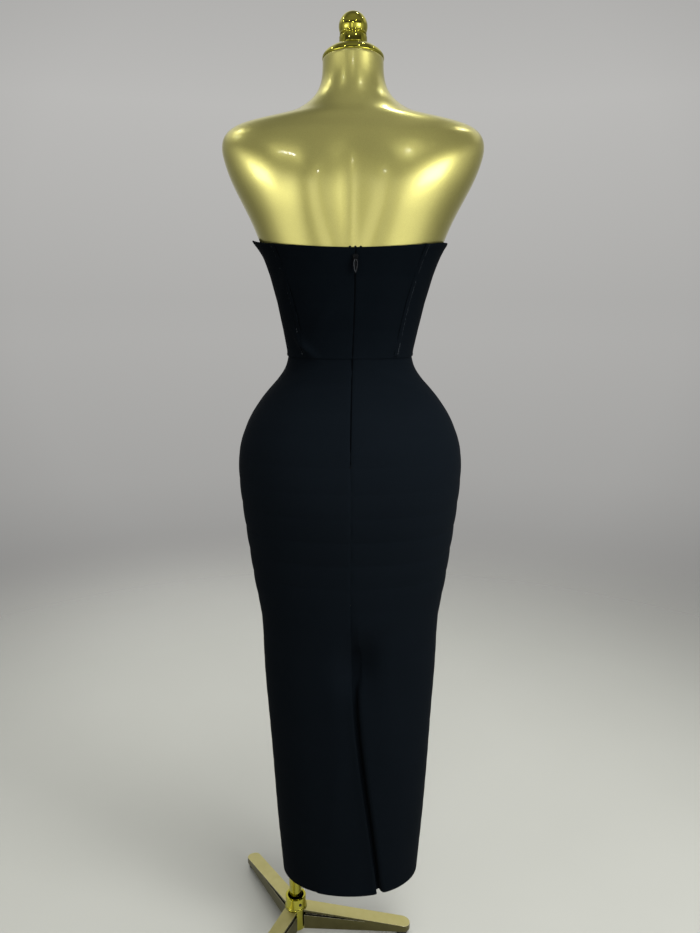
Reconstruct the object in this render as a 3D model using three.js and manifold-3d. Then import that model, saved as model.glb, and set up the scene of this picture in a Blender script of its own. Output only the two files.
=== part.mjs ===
// A strapless, ankle-length bodycon dress on a limbless dress form with a three-legged stand.
// Millimetres, +Z up. The origin is on the floor under the middle of the form.
// The back of the dress, with its zip and walking vent, looks towards +Y.
// The wearer's left is +X. Angles run round the figure from +X, and 90 degrees is the centre back.

import * as THREE from 'three';
import { mergeVertices } from 'three/addons/utils/BufferGeometryUtils.js';
import Module from 'manifold-3d';

const wasm = await Module();
wasm.setup();

// Driving dimensions

const contactGap = 0.3;
const seamGap = 0.3;
const cloth = { wall: 2, clearOfForm: 0.5 };

const hemZ = 160;
const formBottomZ = 740;
const formEdge = 1;
const waistZ = 1153;
const topEdge = { side: 1336, backDip: 13, frontRise: 8 };
const topFlare = { out: 5, tall: 24 };
const waistLip = 1;

const neckTopZ = 1613;
const neckTilt = { degrees: 6.5, fromZ: 1560 };
const capTall = 21.5;

const zip = { bottomZ: 989, openingZ: 973, tapeHalf: 0.9, tapeDeep: 1.4, belowTop: 5 };
const vent = { topZ: 721, underlapTopZ: 685, fold: 14, underlap: 26, drop: 10, leastColumn: 4 };
const casing = { wide: 7, thick: 0.8 };

const slider = { z: 1308, wide: 9, tall: 10, thick: 2.2, lug: 0.9, lugApart: 4.2, pinRadius: 0.8 };
const pull = { eyeRadius: 2, boreRadius: 1.15, eyeWide: 3.5, thick: 1.4, long: 24, wide: 8 };

const pole = { radius: 12.5, x: 108, bottomZ: 30, intoForm: 60, boreClear: 0.35 };
const hub = { radius: 20, bore: 15.5, bottomZ: 18, legTopZ: 62, topZ: 87, flange: 1.6 };
const leg = { wide: 28, reach: 228, rootTop: 62, rootBottom: 20, endTop: 21, endBottom: 10 };
const legGroove = { top: 4, tall: 9, deep: 5, share: 0.56 };
const foot = { radius: 11, fromEnd: 16 };
const legAngles = { right: 180, left_front: -60, left_back: 60 };

// Number of faces round and along each form

const columns = { sideToPrincess: 4, princessToCentre: 5, front: 18 };
const rows = { hemToForm: 10, formToHip: 8, hipToZip: 2, zipToWaist: 7, bodice: 8 };
const roundSides = 24;

// The figure's sections. Up to the top edge it is the form under the cloth, and below the form
// the same columns give the line in which the skirt hangs. square is 2 for an ellipse, more for a
// fuller corner. lean moves a section to the back, sway moves it towards +X.

const sectionColumns = ['z', 'half', 'front', 'back', 'square', 'lean', 'sway'];
const sections = table(sectionColumns, [
  [hemZ, 128.5, 83, 88, 2.1, 0, 0],
  [263, 137, 85, 91, 2.1, 0, 0],
  [367, 143.5, 86, 94, 2.1, 0, 0],
  [505, 151.2, 87, 97, 2.1, 0, 0],
  [615, 156.8, 88, 100, 2.1, 0, 0],
  [662, 156.1, 89, 102, 2.1, 0, 0],
  [697, 157.9, 91, 104, 2.1, 0, 0],
  [720, 161.8, 93, 105, 2.1, 0, 0],
  [formBottomZ + 4, 168.5, 95, 107, 2.15, 0, 0],
  [778, 172.9, 97, 111, 2.15, 0, 0],
  [834, 180.2, 101, 119, 2.15, 0, 0],
  [890, 186.9, 103, 128, 2.15, 0, 0],
  [950, 191.8, 103, 133, 2.15, 0, 0],
  [980, 191.2, 102, 132, 2.15, 0, 0],
  [1008, 185.8, 99, 129, 2.15, 0, 0],
  [1040, 173.6, 94, 120, 2.15, 0, 0],
  [1071, 155.5, 90, 108, 2.15, 0, 0],
  [1102, 129.4, 87, 94, 2.15, 0, 0],
  [1123, 110, 85.5, 86, 2.15, 0, 0],
  [1140, 102.3, 85, 82, 2.15, 0, 0],
  [waistZ, 102.2, 85.5, 81, 2.15, 0, 0],
  [1184, 109.6, 91, 81, 2.15, 0, -0.8],
  [1224, 117.6, 101, 85, 2.15, 0, -1.5],
  [1263, 127.5, 113, 90, 2.15, 0, -2.2],
  [1292, 136.2, 119, 94, 2.15, 0, -2.6],
  [1321, 146.6, 117, 97, 2.2, 0, -3],
  [1350, 156.7, 111, 99, 2.25, 0, -3.3],
  [1378, 170.1, 103, 101, 2.3, 0, -3.6],
  [1406, 184.6, 95, 101, 2.35, 0, -4],
  [1434, 198.6, 87, 99, 2.4, 0, -4.5],
  [1461, 207.8, 78, 95, 2.4, 0, -5],
  [1480, 211.5, 71, 90, 2.35, 0, -5],
  [1498, 207, 65, 83, 2.3, 0, -5],
  [1507, 199, 61, 78, 2.25, -1, -5],
  [1516, 183, 57.5, 73, 2.2, -2, -5],
  [1525, 146, 54.5, 67.5, 2.15, -2, -5],
  [1534, 103, 52, 62, 2.1, -3, -5],
  [1543, 83, 50.5, 57.5, 2.05, -4, -5],
  [1560, 61.5, 49, 52, 2, -5, -5],
  [1578, 51.2, 48.5, 49.5, 2, -6, -5],
  [1595, 48.8, 48.5, 48.5, 2, -6, -5],
  [neckTopZ, 48.5, 48.5, 48.5, 2, -6, -5],
]);

// Soft rises and hollows on those sections: the bust, the shoulder blades, the spine and the seat.
const swells = table(['z', 'angle', 'height', 'tall', 'wide'], [
  [1276, 304, 17, 36, 19],
  [1276, 236, 17, 36, 19],
  [1420, 62, 6, 46, 15],
  [1420, 118, 6, 46, 15],
  [1395, 90, -8, 62, 8],
  [928, 62, 5, 52, 20],
  [928, 118, 5, 52, 20],
]);

// The line of the zip, the back seam and, below the vent's top, the edge of the upper panel.
const backLine = table(['z', 'x'], [
  [hemZ, -48.5],
  [287, -33.7],
  [389, -20.5],
  [476, -10.6],
  [580, -2.5],
  [vent.topZ, -0.8],
  [989, -1],
  [1089, -2.4],
  [1173, -4.8],
  [1243, -7.6],
  [1345, -9.5],
]);

// How far out towards the side the back princess seams run, as a share of the half width.
const princessShare = { waist: 0.7, top: 0.8, hem: 0.7 };

// Levels of the form above the top edge of the dress.
const bareLevels = [
  1362, 1382, 1402, 1422, 1442, 1460, 1475, 1487, 1497, 1505, 1511, 1516, 1520.5, 1525, 1529.5,
  1534, 1539, 1546, 1555, 1567, 1582, 1598, neckTopZ,
];

const finish = {
  blackKnit: surface('#0b0c10', 0.92, 0),
  blackTrim: surface('#101114', 0.45, 0),
  goldForm: surface('#a8924a', 0.32, 0.75),
  goldMirror: surface('#b39a35', 0.08, 1),
  goldLegs: surface('#a8955a', 0.3, 0.9),
  blackSteel: surface('#15151a', 0.4, 0.6),
  rubber: surface('#17171a', 0.85, 0),
};

// General helpers

function table(names, values) {
  return values.map((row) => Object.fromEntries(names.map((name, i) => [name, row[i]])));
}

function surface(colour, roughness, metalness) {
  return new THREE.MeshStandardMaterial({ color: colour, roughness, metalness });
}

function radians(degrees) {
  return (degrees * Math.PI) / 180;
}

function lerp(from, to, share) {
  return from + (to - from) * share;
}

function smooth(share) {
  const t = Math.min(1, Math.max(0, share));
  return t * t * (3 - 2 * t);
}

function evenSteps(from, to, count) {
  return Array.from({ length: count }, (_, i) => lerp(from, to, (i + 1) / count));
}

// A smooth line through one column of a table, with no overshoot between its rows.
function lineThrough(rowList, column) {
  const z = rowList.map((row) => row.z);
  const value = rowList.map((row) => row[column]);
  const last = z.length - 1;
  const chord = z.slice(1).map((to, i) => (value[i + 1] - value[i]) / (to - z[i]));
  const slope = z.map((_, i) => {
    if (i === 0) return chord[0];
    if (i === last) return chord[last - 1];
    if (chord[i - 1] * chord[i] <= 0) return 0;
    const before = z[i] - z[i - 1];
    const after = z[i + 1] - z[i];
    const weightBefore = 2 * after + before;
    const weightAfter = after + 2 * before;
    return (weightBefore + weightAfter) / (weightBefore / chord[i - 1] + weightAfter / chord[i]);
  });
  return (at) => {
    if (at <= z[0]) return value[0] + slope[0] * (at - z[0]);
    if (at >= z[last]) return value[last] + slope[last] * (at - z[last]);
    let i = 0;
    while (z[i + 1] < at) i += 1;
    const step = z[i + 1] - z[i];
    const t = (at - z[i]) / step;
    const rest = 1 - t;
    return (
      value[i] * (1 + 2 * t) * rest * rest +
      slope[i] * step * t * rest * rest +
      value[i + 1] * t * t * (3 - 2 * t) -
      slope[i + 1] * step * t * t * rest
    );
  };
}

const sectionLine = {};
for (const name of sectionColumns.slice(1)) sectionLine[name] = lineThrough(sections, name);
const backLineX = lineThrough(backLine, 'x');

// The figure's surface

function cornerReach(angle, square) {
  const across = Math.abs(Math.cos(angle)) ** square;
  const deep = Math.abs(Math.sin(angle)) ** square;
  return (across + deep) ** (-1 / square);
}

function swellAt(z, angle) {
  let height = 0;
  for (const swell of swells) {
    const turn = Math.atan2(Math.sin(angle - radians(swell.angle)), Math.cos(angle - radians(swell.angle)));
    const up = (z - swell.z) / swell.tall;
    const round = turn / radians(swell.wide);
    height += swell.height * Math.exp(-(up * up + round * round) / 2);
  }
  return height;
}

function figurePoint(z, angle) {
  const reach = cornerReach(angle, sectionLine.square(z));
  const depth = Math.sin(angle) > 0 ? sectionLine.back(z) : sectionLine.front(z);
  const x = sectionLine.half(z) * Math.cos(angle) * reach;
  const y = depth * Math.sin(angle) * reach;
  const grow = 1 + swellAt(z, angle) / Math.hypot(x, y);
  return new THREE.Vector3(x * grow + sectionLine.sway(z), y * grow + sectionLine.lean(z), z);
}

function figureNormal(z, angle) {
  const dz = 0.5;
  const turn = 0.004;
  const round = figurePoint(z, angle + turn).sub(figurePoint(z, angle - turn));
  const up = figurePoint(z + dz, angle).sub(figurePoint(z - dz, angle));
  return round.cross(up).normalize();
}

function offFigure(z, angle, distance) {
  return figurePoint(z, angle).addScaledVector(figureNormal(z, angle), distance);
}

// The angle on the back at which the figure's surface has a given x.
function backAngleAt(z, x) {
  let angle = Math.PI / 2;
  for (let round = 0; round < 8; round += 1) {
    const reach = cornerReach(angle, sectionLine.square(z));
    angle = Math.acos((x - sectionLine.sway(z)) / (sectionLine.half(z) * reach));
  }
  return angle;
}

function topEdgeZ(angle) {
  const deep = Math.sin(angle) ** 2;
  return Math.sin(angle) > 0 ? topEdge.side - topEdge.backDip * deep : topEdge.side + topEdge.frontRise * deep;
}

// Seam lines round the figure. A level is a height below the waist seam, and in the bodice it is
// the waist seam's height plus a share of the way up to the top edge.

function princessAngle(z, side) {
  const share = z < waistZ
    ? lerp(princessShare.hem, princessShare.waist, (z - hemZ) / (waistZ - hemZ))
    : lerp(princessShare.waist, princessShare.top, (z - waistZ) / (topEdge.side - waistZ));
  return backAngleAt(z, side * share * sectionLine.half(z));
}

function evenAngles(from, to, count) {
  return [from, ...evenSteps(from, to, count)];
}

// Angles of all the columns round the figure at one level, by panel.
function panelAngles(z) {
  const left = princessAngle(z, 1);
  const centre = backAngleAt(z, backLineX(z));
  const right = princessAngle(z, -1);
  return {
    sideLeft: evenAngles(0, left, columns.sideToPrincess),
    backLeft: evenAngles(left, centre, columns.princessToCentre),
    backRight: evenAngles(centre, right, columns.princessToCentre),
    sideRight: evenAngles(right, Math.PI, columns.sideToPrincess),
    front: evenAngles(Math.PI, 2 * Math.PI, columns.front),
  };
}

function arcRadius(z, angle) {
  return figurePoint(z, angle + 0.01).distanceTo(figurePoint(z, angle - 0.01)) / 0.02;
}

// Moves the first and last column of a panel in from its seams.
function insetEnds(z, angles, first, last) {
  const inset = [...angles];
  const end = angles.length - 1;
  inset[0] += first / arcRadius(z, angles[0]);
  inset[end] -= last / arcRadius(z, angles[end]);
  return inset;
}

function centreHalfGap(z) {
  const zipGap = zip.tapeHalf + contactGap;
  return lerp(seamGap / 2, zipGap, smooth((z - zip.openingZ) / (zip.bottomZ - zip.openingZ)));
}

const skirtLevels = [
  hemZ,
  ...evenSteps(hemZ, formBottomZ + 4, rows.hemToForm),
  ...evenSteps(formBottomZ + 4, 950, rows.formToHip),
  ...evenSteps(950, zip.openingZ, rows.hipToZip),
  zip.bottomZ,
  ...evenSteps(zip.bottomZ, waistZ - seamGap / 2, rows.zipToWaist),
];
const bodiceShares = [0, ...evenSteps(0, 1, rows.bodice)];

function bodiceLevel(share) {
  return lerp(waistZ + seamGap / 2, topEdge.side, share);
}

function bodiceZ(share, angle) {
  return lerp(waistZ + seamGap / 2, topEdgeZ(angle), share);
}

// Closed meshes

function closedGeometry(points, triangles) {
  let volume = 0;
  for (const [a, b, c] of triangles) {
    volume += points[a].dot(new THREE.Vector3().crossVectors(points[b], points[c]));
  }
  const facing = volume > 0 ? triangles : triangles.map(([a, b, c]) => [a, c, b]);
  const geometry = new THREE.BufferGeometry();
  const flat = points.flatMap((point) => point.toArray());
  geometry.setAttribute('position', new THREE.Float32BufferAttribute(flat, 3));
  geometry.setIndex(facing.flat());
  geometry.computeVertexNormals();
  return geometry;
}

// A wall of cloth between an outer and an inner grid of points with the same rows and columns.
function wallGeometry(outer, inner) {
  const tall = outer.length;
  const wide = outer[0].length;
  const points = [...outer.flat(), ...inner.flat()];
  const at = (layer, row, column) => layer * tall * wide + row * wide + column;
  const triangles = [];
  const quad = (a, b, c, d) => triangles.push([a, b, c], [a, c, d]);
  for (let row = 0; row < tall - 1; row += 1) {
    for (let column = 0; column < wide - 1; column += 1) {
      quad(at(0, row, column), at(0, row, column + 1), at(0, row + 1, column + 1), at(0, row + 1, column));
      quad(at(1, row, column), at(1, row + 1, column), at(1, row + 1, column + 1), at(1, row, column + 1));
    }
    quad(at(0, row, 0), at(0, row + 1, 0), at(1, row + 1, 0), at(1, row, 0));
    quad(at(0, row, wide - 1), at(1, row, wide - 1), at(1, row + 1, wide - 1), at(0, row + 1, wide - 1));
  }
  for (let column = 0; column < wide - 1; column += 1) {
    quad(at(0, 0, column), at(1, 0, column), at(1, 0, column + 1), at(0, 0, column + 1));
    quad(
      at(0, tall - 1, column), at(0, tall - 1, column + 1),
      at(1, tall - 1, column + 1), at(1, tall - 1, column),
    );
  }
  return closedGeometry(points, triangles);
}

function manifoldFrom(geometry) {
  const bare = geometry.clone();
  for (const name of Object.keys(bare.attributes)) if (name !== 'position') bare.deleteAttribute(name);
  const merged = mergeVertices(bare, 1e-4);
  return new wasm.Manifold(new wasm.Mesh({
    numProp: 3,
    vertProperties: merged.attributes.position.array,
    triVerts: Uint32Array.from(merged.index.array),
  }));
}

function geometryFrom(manifold) {
  const mesh = manifold.getMesh();
  const geometry = new THREE.BufferGeometry();
  geometry.setAttribute('position', new THREE.BufferAttribute(mesh.vertProperties.slice(), 3));
  geometry.setIndex(new THREE.BufferAttribute(mesh.triVerts.slice(), 1));
  geometry.computeVertexNormals();
  return geometry;
}

function cylinderAlong(axis, radius, from, to, sides = roundSides) {
  const geometry = new THREE.CylinderGeometry(radius, radius, to - from, sides);
  geometry.translate(0, (from + to) / 2, 0);
  if (axis === 'z') geometry.rotateX(Math.PI / 2);
  if (axis === 'x') geometry.rotateZ(-Math.PI / 2);
  return geometry;
}

function lathed(profile) {
  const geometry = new THREE.LatheGeometry(profile.map(([r, z]) => new THREE.Vector2(r, z)), roundSides);
  geometry.rotateX(Math.PI / 2);
  return geometryFrom(manifoldFrom(geometry));
}

// Cloth panels

function clothWall(gridAt, rowCount, outwards) {
  const grid = (distance) => Array.from({ length: rowCount }, (_, row) => (
    gridAt(row).map(({ z, angle, sink = 0 }) => offFigure(z, angle, distance - sink + outwards(z, angle, row)))
  ));
  return wallGeometry(grid(cloth.clearOfForm + cloth.wall), grid(cloth.clearOfForm));
}

function skirtPanel(anglesAt) {
  const gridAt = (row) => {
    const z = skirtLevels[row];
    return anglesAt(z).map((place) => (typeof place === 'number' ? { z, angle: place } : { z, ...place }));
  };
  return clothWall(gridAt, skirtLevels.length, () => 0);
}

function bodiceFlare(z, angle, row) {
  const rise = smooth((z - topEdgeZ(angle) + topFlare.tall) / topFlare.tall);
  const side = Math.cos(angle) ** 4;
  return topFlare.out * side * rise + (row === 0 ? waistLip : 0);
}

function bodicePanel(anglesAt) {
  const gridAt = (row) => {
    const share = bodiceShares[row];
    return anglesAt(bodiceLevel(share)).map((angle) => ({ z: bodiceZ(share, angle), angle }));
  };
  return clothWall(gridAt, bodiceShares.length, bodiceFlare);
}

// The upper back panel of the skirt, whose edge lies over the vent.
function skirtBackLeftAngles(z) {
  const { sideLeft, backLeft } = panelAngles(z);
  return insetEnds(z, [...sideLeft, ...backLeft.slice(1)], seamGap / 2, centreHalfGap(z));
}

// The under panel folds in along the vent and runs on behind the upper one.
function skirtBackRightAngles(z) {
  const { backRight, sideRight } = panelAngles(z);
  const under = smooth((vent.topZ - z) / (vent.topZ - 640));
  const reachUnder = vent.underlap * smooth((vent.underlapTopZ - z) / 90);
  const seamX = backLineX(z);
  const edgeX = seamX - centreHalfGap(z) + reachUnder;
  const foldX = seamX - vent.fold;
  const flap = [edgeX, ...evenSteps(edgeX, foldX, 5)].map((x) => ({
    angle: backAngleAt(z, x),
    sink: vent.drop * under * smooth((x - foldX) / vent.fold),
  }));
  const rest = insetEnds(z, [...backRight, ...sideRight.slice(1)], 0, seamGap / 2);
  const foldAngle = flap[flap.length - 1].angle;
  const leastTurn = vent.leastColumn / arcRadius(z, Math.PI / 2);
  return [...flap, ...rest.slice(1).map((angle, i) => Math.max(angle, foldAngle + leastTurn * (i + 1)))];
}

// A narrow strip along a line of places, each with a height, an angle and how far the cloth
// stands out there.
function strip(line, halfWide, inner, outer) {
  const grid = (distance) => line.map(({ z, angle, out }) => {
    const turn = halfWide / arcRadius(z, angle);
    return [angle - turn, angle, angle + turn].map((a) => offFigure(z, a, distance + out));
  });
  return wallGeometry(grid(outer), grid(inner));
}

function bodiceLine(angleAt) {
  return bodiceShares.map((share, row) => {
    const angle = angleAt(bodiceLevel(share));
    const z = bodiceZ(share, angle);
    return { z, angle, out: bodiceFlare(z, angle, row) };
  });
}

function casingStrip(side) {
  const inner = cloth.clearOfForm + cloth.wall + contactGap;
  return strip(bodiceLine((z) => princessAngle(z, side)), casing.wide / 2, inner, inner + casing.thick);
}

function zipTape() {
  const centre = (z) => backAngleAt(z, backLineX(z));
  const inSkirt = skirtLevels.filter((z) => z >= zip.bottomZ && z < waistZ - 2);
  const line = [...inSkirt.map((z) => ({ z, angle: centre(z), out: 0 })), ...bodiceLine(centre)];
  line[line.length - 1].z -= zip.belowTop;
  const outer = cloth.clearOfForm + cloth.wall - 0.2;
  return strip(line, zip.tapeHalf, outer - zip.tapeDeep, outer);
}

// The dress form

// The neck is cut at a slant, lower at the front.
function leanNeck(point) {
  const share = smooth((point.z - neckTilt.fromZ) / (neckTopZ - neckTilt.fromZ));
  point.z += share * Math.tan(radians(neckTilt.degrees)) * (point.y - sectionLine.lean(neckTopZ));
  return point;
}

function formGeometry() {
  const around = (z) => {
    const angles = panelAngles(z);
    return ['sideLeft', 'backLeft', 'backRight', 'sideRight', 'front'].flatMap((name) => angles[name].slice(0, -1));
  };
  const rings = [
    around(formBottomZ).map((angle) => offFigure(formBottomZ, angle, -formEdge).setZ(formBottomZ)),
    ...skirtLevels.filter((z) => z > formBottomZ)
      .map((z) => around(z).map((angle) => figurePoint(z, angle))),
    ...bodiceShares.slice(1)
      .map((share) => around(bodiceLevel(share)).map((angle) => figurePoint(bodiceZ(share, angle), angle))),
    ...bareLevels
      .map((z) => around(Math.min(z, topEdge.side)).map((angle) => leanNeck(figurePoint(z, angle)))),
  ];
  const wide = rings[0].length;
  const points = rings.flat();
  const foot = points.push(new THREE.Vector3(0, 0, formBottomZ)) - 1;
  const head = points.push(
    new THREE.Vector3(sectionLine.sway(neckTopZ), sectionLine.lean(neckTopZ), neckTopZ),
  ) - 1;
  const triangles = [];
  const top = (rings.length - 1) * wide;
  for (let i = 0; i < wide; i += 1) {
    const next = (i + 1) % wide;
    triangles.push([foot, next, i], [head, top + i, top + next]);
    for (let row = 0; row < rings.length - 1; row += 1) {
      const low = row * wide;
      const high = low + wide;
      triangles.push([low + i, low + next, high + next], [low + i, high + next, high + i]);
    }
  }
  const whole = manifoldFrom(closedGeometry(points, triangles));
  const bore = cylinderAlong('z', pole.radius + pole.boreClear, formBottomZ - 20, formBottomZ + pole.intoForm);
  bore.translate(pole.x, 0, 0);
  return geometryFrom(whole.subtract(manifoldFrom(bore)));
}

// The cap and the finial are turned about the slanted axis of the neck, from its cut upwards.
function neckCap() {
  const low = contactGap;
  return lathed([
    [0, low], [48.2, low], [49, low + 1], [49, low + 4.5], [46.6, low + 8.6], [42, low + 12.8],
    [35.5, low + 16.8], [28.5, low + 19.8], [22.8, low + capTall], [0, low + capTall],
  ]);
}

function finial() {
  const low = contactGap + capTall + contactGap;
  const ball = { radius: 22.9, middle: 29.2, from: 20, steps: 9 };
  const arc = evenSteps(Math.asin((ball.from - ball.middle) / ball.radius), Math.PI / 2, ball.steps)
    .map((turn) => [ball.radius * Math.cos(turn), low + ball.middle + ball.radius * Math.sin(turn)]);
  arc[arc.length - 1][0] = 0;
  return lathed([
    [0, low], [21.3, low], [22.3, low + 1], [22.3, low + 13], [21.3, low + 14], [19.4, low + 14.6],
    [19.4, low + 16.4], [21.3, low + 17], [21.3, low + 18.8], [20.6, low + 19.4],
    [20.9, low + ball.from], ...arc,
  ]);
}

// The stand

function hubCup() {
  const { radius, bore, bottomZ, legTopZ, topZ, flange } = hub;
  const cup = lathed([
    [0, bottomZ], [radius, bottomZ], [radius, legTopZ], [radius + flange, legTopZ + 0.8],
    [radius + flange, legTopZ + 3], [radius, legTopZ + 4], [radius, topZ - 1], [radius - 1, topZ],
    [bore + 0.8, topZ], [bore, topZ - 0.8], [bore, pole.bottomZ - contactGap],
    [0, pole.bottomZ - contactGap],
  ]);
  const hole = manifoldFrom(screwAlong(bore - 2, radius + 3, setScrew.radius + 0.3));
  return geometryFrom(manifoldFrom(cup).subtract(hole));
}

const setScrew = { radius: 3, z: 76, angle: 120 };

function screwAlong(from, to, radius) {
  const geometry = cylinderAlong('x', radius, from, to, 12);
  geometry.rotateZ(radians(setScrew.angle));
  geometry.translate(0, 0, setScrew.z);
  return geometry;
}

// A leg runs along +X from the hub, high at its root, with a wedge-shaped groove on each side.
function legGeometry() {
  const half = leg.wide / 2;
  const root = 8;
  const side = new THREE.Shape([
    new THREE.Vector2(root, leg.rootBottom),
    new THREE.Vector2(leg.reach, leg.endBottom),
    new THREE.Vector2(leg.reach, leg.endTop),
    new THREE.Vector2(root, leg.rootTop + 2),
  ]);
  const sideSolid = new THREE.ExtrudeGeometry(side, { depth: leg.wide + 4, bevelEnabled: false });
  sideSolid.translate(0, 0, -half - 2).rotateX(Math.PI / 2);

  const plan = new THREE.Shape();
  plan.moveTo(root, -half);
  plan.lineTo(leg.reach - half, -half);
  plan.absarc(leg.reach - half, 0, half, -Math.PI / 2, Math.PI / 2, false);
  plan.lineTo(root, half);
  const planSolid = new THREE.ExtrudeGeometry(plan, { depth: 90, bevelEnabled: false, curveSegments: 8 });

  const grooveEnd = lerp(hub.radius, leg.reach, legGroove.share);
  const slope = (leg.endTop - leg.rootTop - 2) / (leg.reach - root);
  const topAt = (x) => leg.rootTop + 2 + slope * (x - root);
  const wedge = new THREE.Shape([
    new THREE.Vector2(root - 2, topAt(root - 2) - legGroove.top - legGroove.tall),
    new THREE.Vector2(grooveEnd, topAt(grooveEnd) - legGroove.top - 0.4),
    new THREE.Vector2(grooveEnd, topAt(grooveEnd) - legGroove.top),
    new THREE.Vector2(root - 2, topAt(root - 2) - legGroove.top),
  ]);
  const hubRoom = cylinderAlong('z', hub.radius + hub.flange + contactGap, 0, 120);

  let solid = manifoldFrom(sideSolid).intersect(manifoldFrom(planSolid)).subtract(manifoldFrom(hubRoom));
  for (const face of [half - legGroove.deep, -half - 1]) {
    const cutter = new THREE.ExtrudeGeometry(wedge, { depth: legGroove.deep + 1, bevelEnabled: false });
    cutter.rotateX(Math.PI / 2).translate(0, face + legGroove.deep + 1, 0);
    solid = solid.subtract(manifoldFrom(cutter));
  }
  return geometryFrom(solid);
}

// Zip slider and pull

function sliderGeometry() {
  const { wide, tall, thick, lug, lugApart, pinRadius } = slider;
  const outline = new THREE.Shape();
  const corner = 2;
  outline.moveTo(-wide / 2, tall / 2 - corner);
  outline.lineTo(-wide / 2 + corner / 2, -tall / 2);
  outline.lineTo(wide / 2 - corner / 2, -tall / 2);
  outline.lineTo(wide / 2, tall / 2 - corner);
  outline.lineTo(wide / 2 - corner, tall / 2);
  outline.lineTo(-wide / 2 + corner, tall / 2);
  const plate = new THREE.ExtrudeGeometry(outline, { depth: thick, bevelEnabled: false });
  plate.rotateX(Math.PI / 2).rotateZ(Math.PI);
  let solid = manifoldFrom(plate);
  const pinY = thick + pull.eyeRadius + contactGap;
  for (const side of [-1, 1]) {
    const cheek = new THREE.BoxGeometry(lug, pinY + pinRadius + 0.4, 3.2);
    cheek.translate(side * (lugApart + lug) / 2, (pinY + pinRadius + 0.4) / 2, 0);
    solid = solid.add(manifoldFrom(cheek));
  }
  const pin = cylinderAlong('x', pinRadius, -lugApart / 2 - lug / 2, lugApart / 2 + lug / 2, 12);
  pin.translate(0, pinY, 0);
  return geometryFrom(solid.add(manifoldFrom(pin)));
}

function pullGeometry() {
  const { eyeRadius, boreRadius, eyeWide, thick, long, wide } = pull;
  const eye = cylinderAlong('x', eyeRadius, -eyeWide / 2, eyeWide / 2, 16);
  const bore = cylinderAlong('x', boreRadius, -eyeWide, eyeWide, 16);
  const leaf = [
    [eyeWide / 2, -boreRadius - 0.3], [wide * 0.4, -long * 0.18], [wide / 2, -long * 0.36],
    [wide * 0.47, -long * 0.58], [wide * 0.34, -long * 0.8], [wide * 0.14, -long * 0.96],
  ].map(([x, y]) => new THREE.Vector2(x, y));
  const mirrored = leaf.map((corner) => new THREE.Vector2(-corner.x, corner.y)).reverse();
  const outline = new THREE.Shape([...leaf, new THREE.Vector2(0, -long), ...mirrored]);
  const tab = new THREE.ExtrudeGeometry(outline, { depth: thick, bevelEnabled: false });
  tab.translate(0, 0, -thick / 2).rotateX(Math.PI / 2);
  return geometryFrom(manifoldFrom(eye).add(manifoldFrom(tab)).subtract(manifoldFrom(bore)));
}

// The whole part

const dressOnForm = new THREE.Group();

function place(name, geometry, material, parent = dressOnForm) {
  const mesh = new THREE.Mesh(geometry, material);
  mesh.name = name;
  parent.add(mesh);
  return mesh;
}

const half = seamGap / 2;
const knit = finish.blackKnit;
place('bodice_front', bodicePanel((z) => insetEnds(z, panelAngles(z).front, half, half)), knit);
place('bodice_side_back_left', bodicePanel((z) => insetEnds(z, panelAngles(z).sideLeft, half, half)), knit);
place('bodice_side_back_right', bodicePanel((z) => insetEnds(z, panelAngles(z).sideRight, half, half)), knit);
place('bodice_back_left', bodicePanel((z) => insetEnds(z, panelAngles(z).backLeft, half, centreHalfGap(z))), knit);
place('bodice_back_right', bodicePanel((z) => insetEnds(z, panelAngles(z).backRight, centreHalfGap(z), half)), knit);
place('bone_casing_left', casingStrip(1), knit);
place('bone_casing_right', casingStrip(-1), knit);
place('skirt_front', skirtPanel((z) => insetEnds(z, panelAngles(z).front, half, half)), knit);
place('skirt_back_left', skirtPanel(skirtBackLeftAngles), knit);
place('skirt_back_right', skirtPanel(skirtBackRightAngles), knit);
place('zip_tape', zipTape(), finish.blackTrim);

const sliderAngle = backAngleAt(slider.z, backLineX(slider.z));
const sliderNormal = figureNormal(slider.z, sliderAngle);
const onCloth = cloth.clearOfForm + cloth.wall + contactGap;
const sliderGroup = new THREE.Group();
sliderGroup.position.copy(offFigure(slider.z, sliderAngle, onCloth));
sliderGroup.rotation.x = Math.atan2(sliderNormal.z, sliderNormal.y);
dressOnForm.add(sliderGroup);
place('zip_slider', sliderGeometry(), finish.blackTrim, sliderGroup);

// The pull hangs straight down from the slider's pin.
const pinOut = slider.thick + pull.eyeRadius + contactGap;
const zipPull = place('zip_pull', pullGeometry(), finish.blackTrim);
zipPull.position.set(0, pinOut, 0).applyEuler(sliderGroup.rotation).add(sliderGroup.position);

place('form_torso', formGeometry(), finish.goldForm);
const neckTop = new THREE.Group();
neckTop.position.set(sectionLine.sway(neckTopZ), sectionLine.lean(neckTopZ), neckTopZ);
neckTop.rotation.x = radians(neckTilt.degrees);
dressOnForm.add(neckTop);
place('neck_cap', neckCap(), finish.goldMirror, neckTop);
place('finial', finial(), finish.goldMirror, neckTop);

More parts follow.
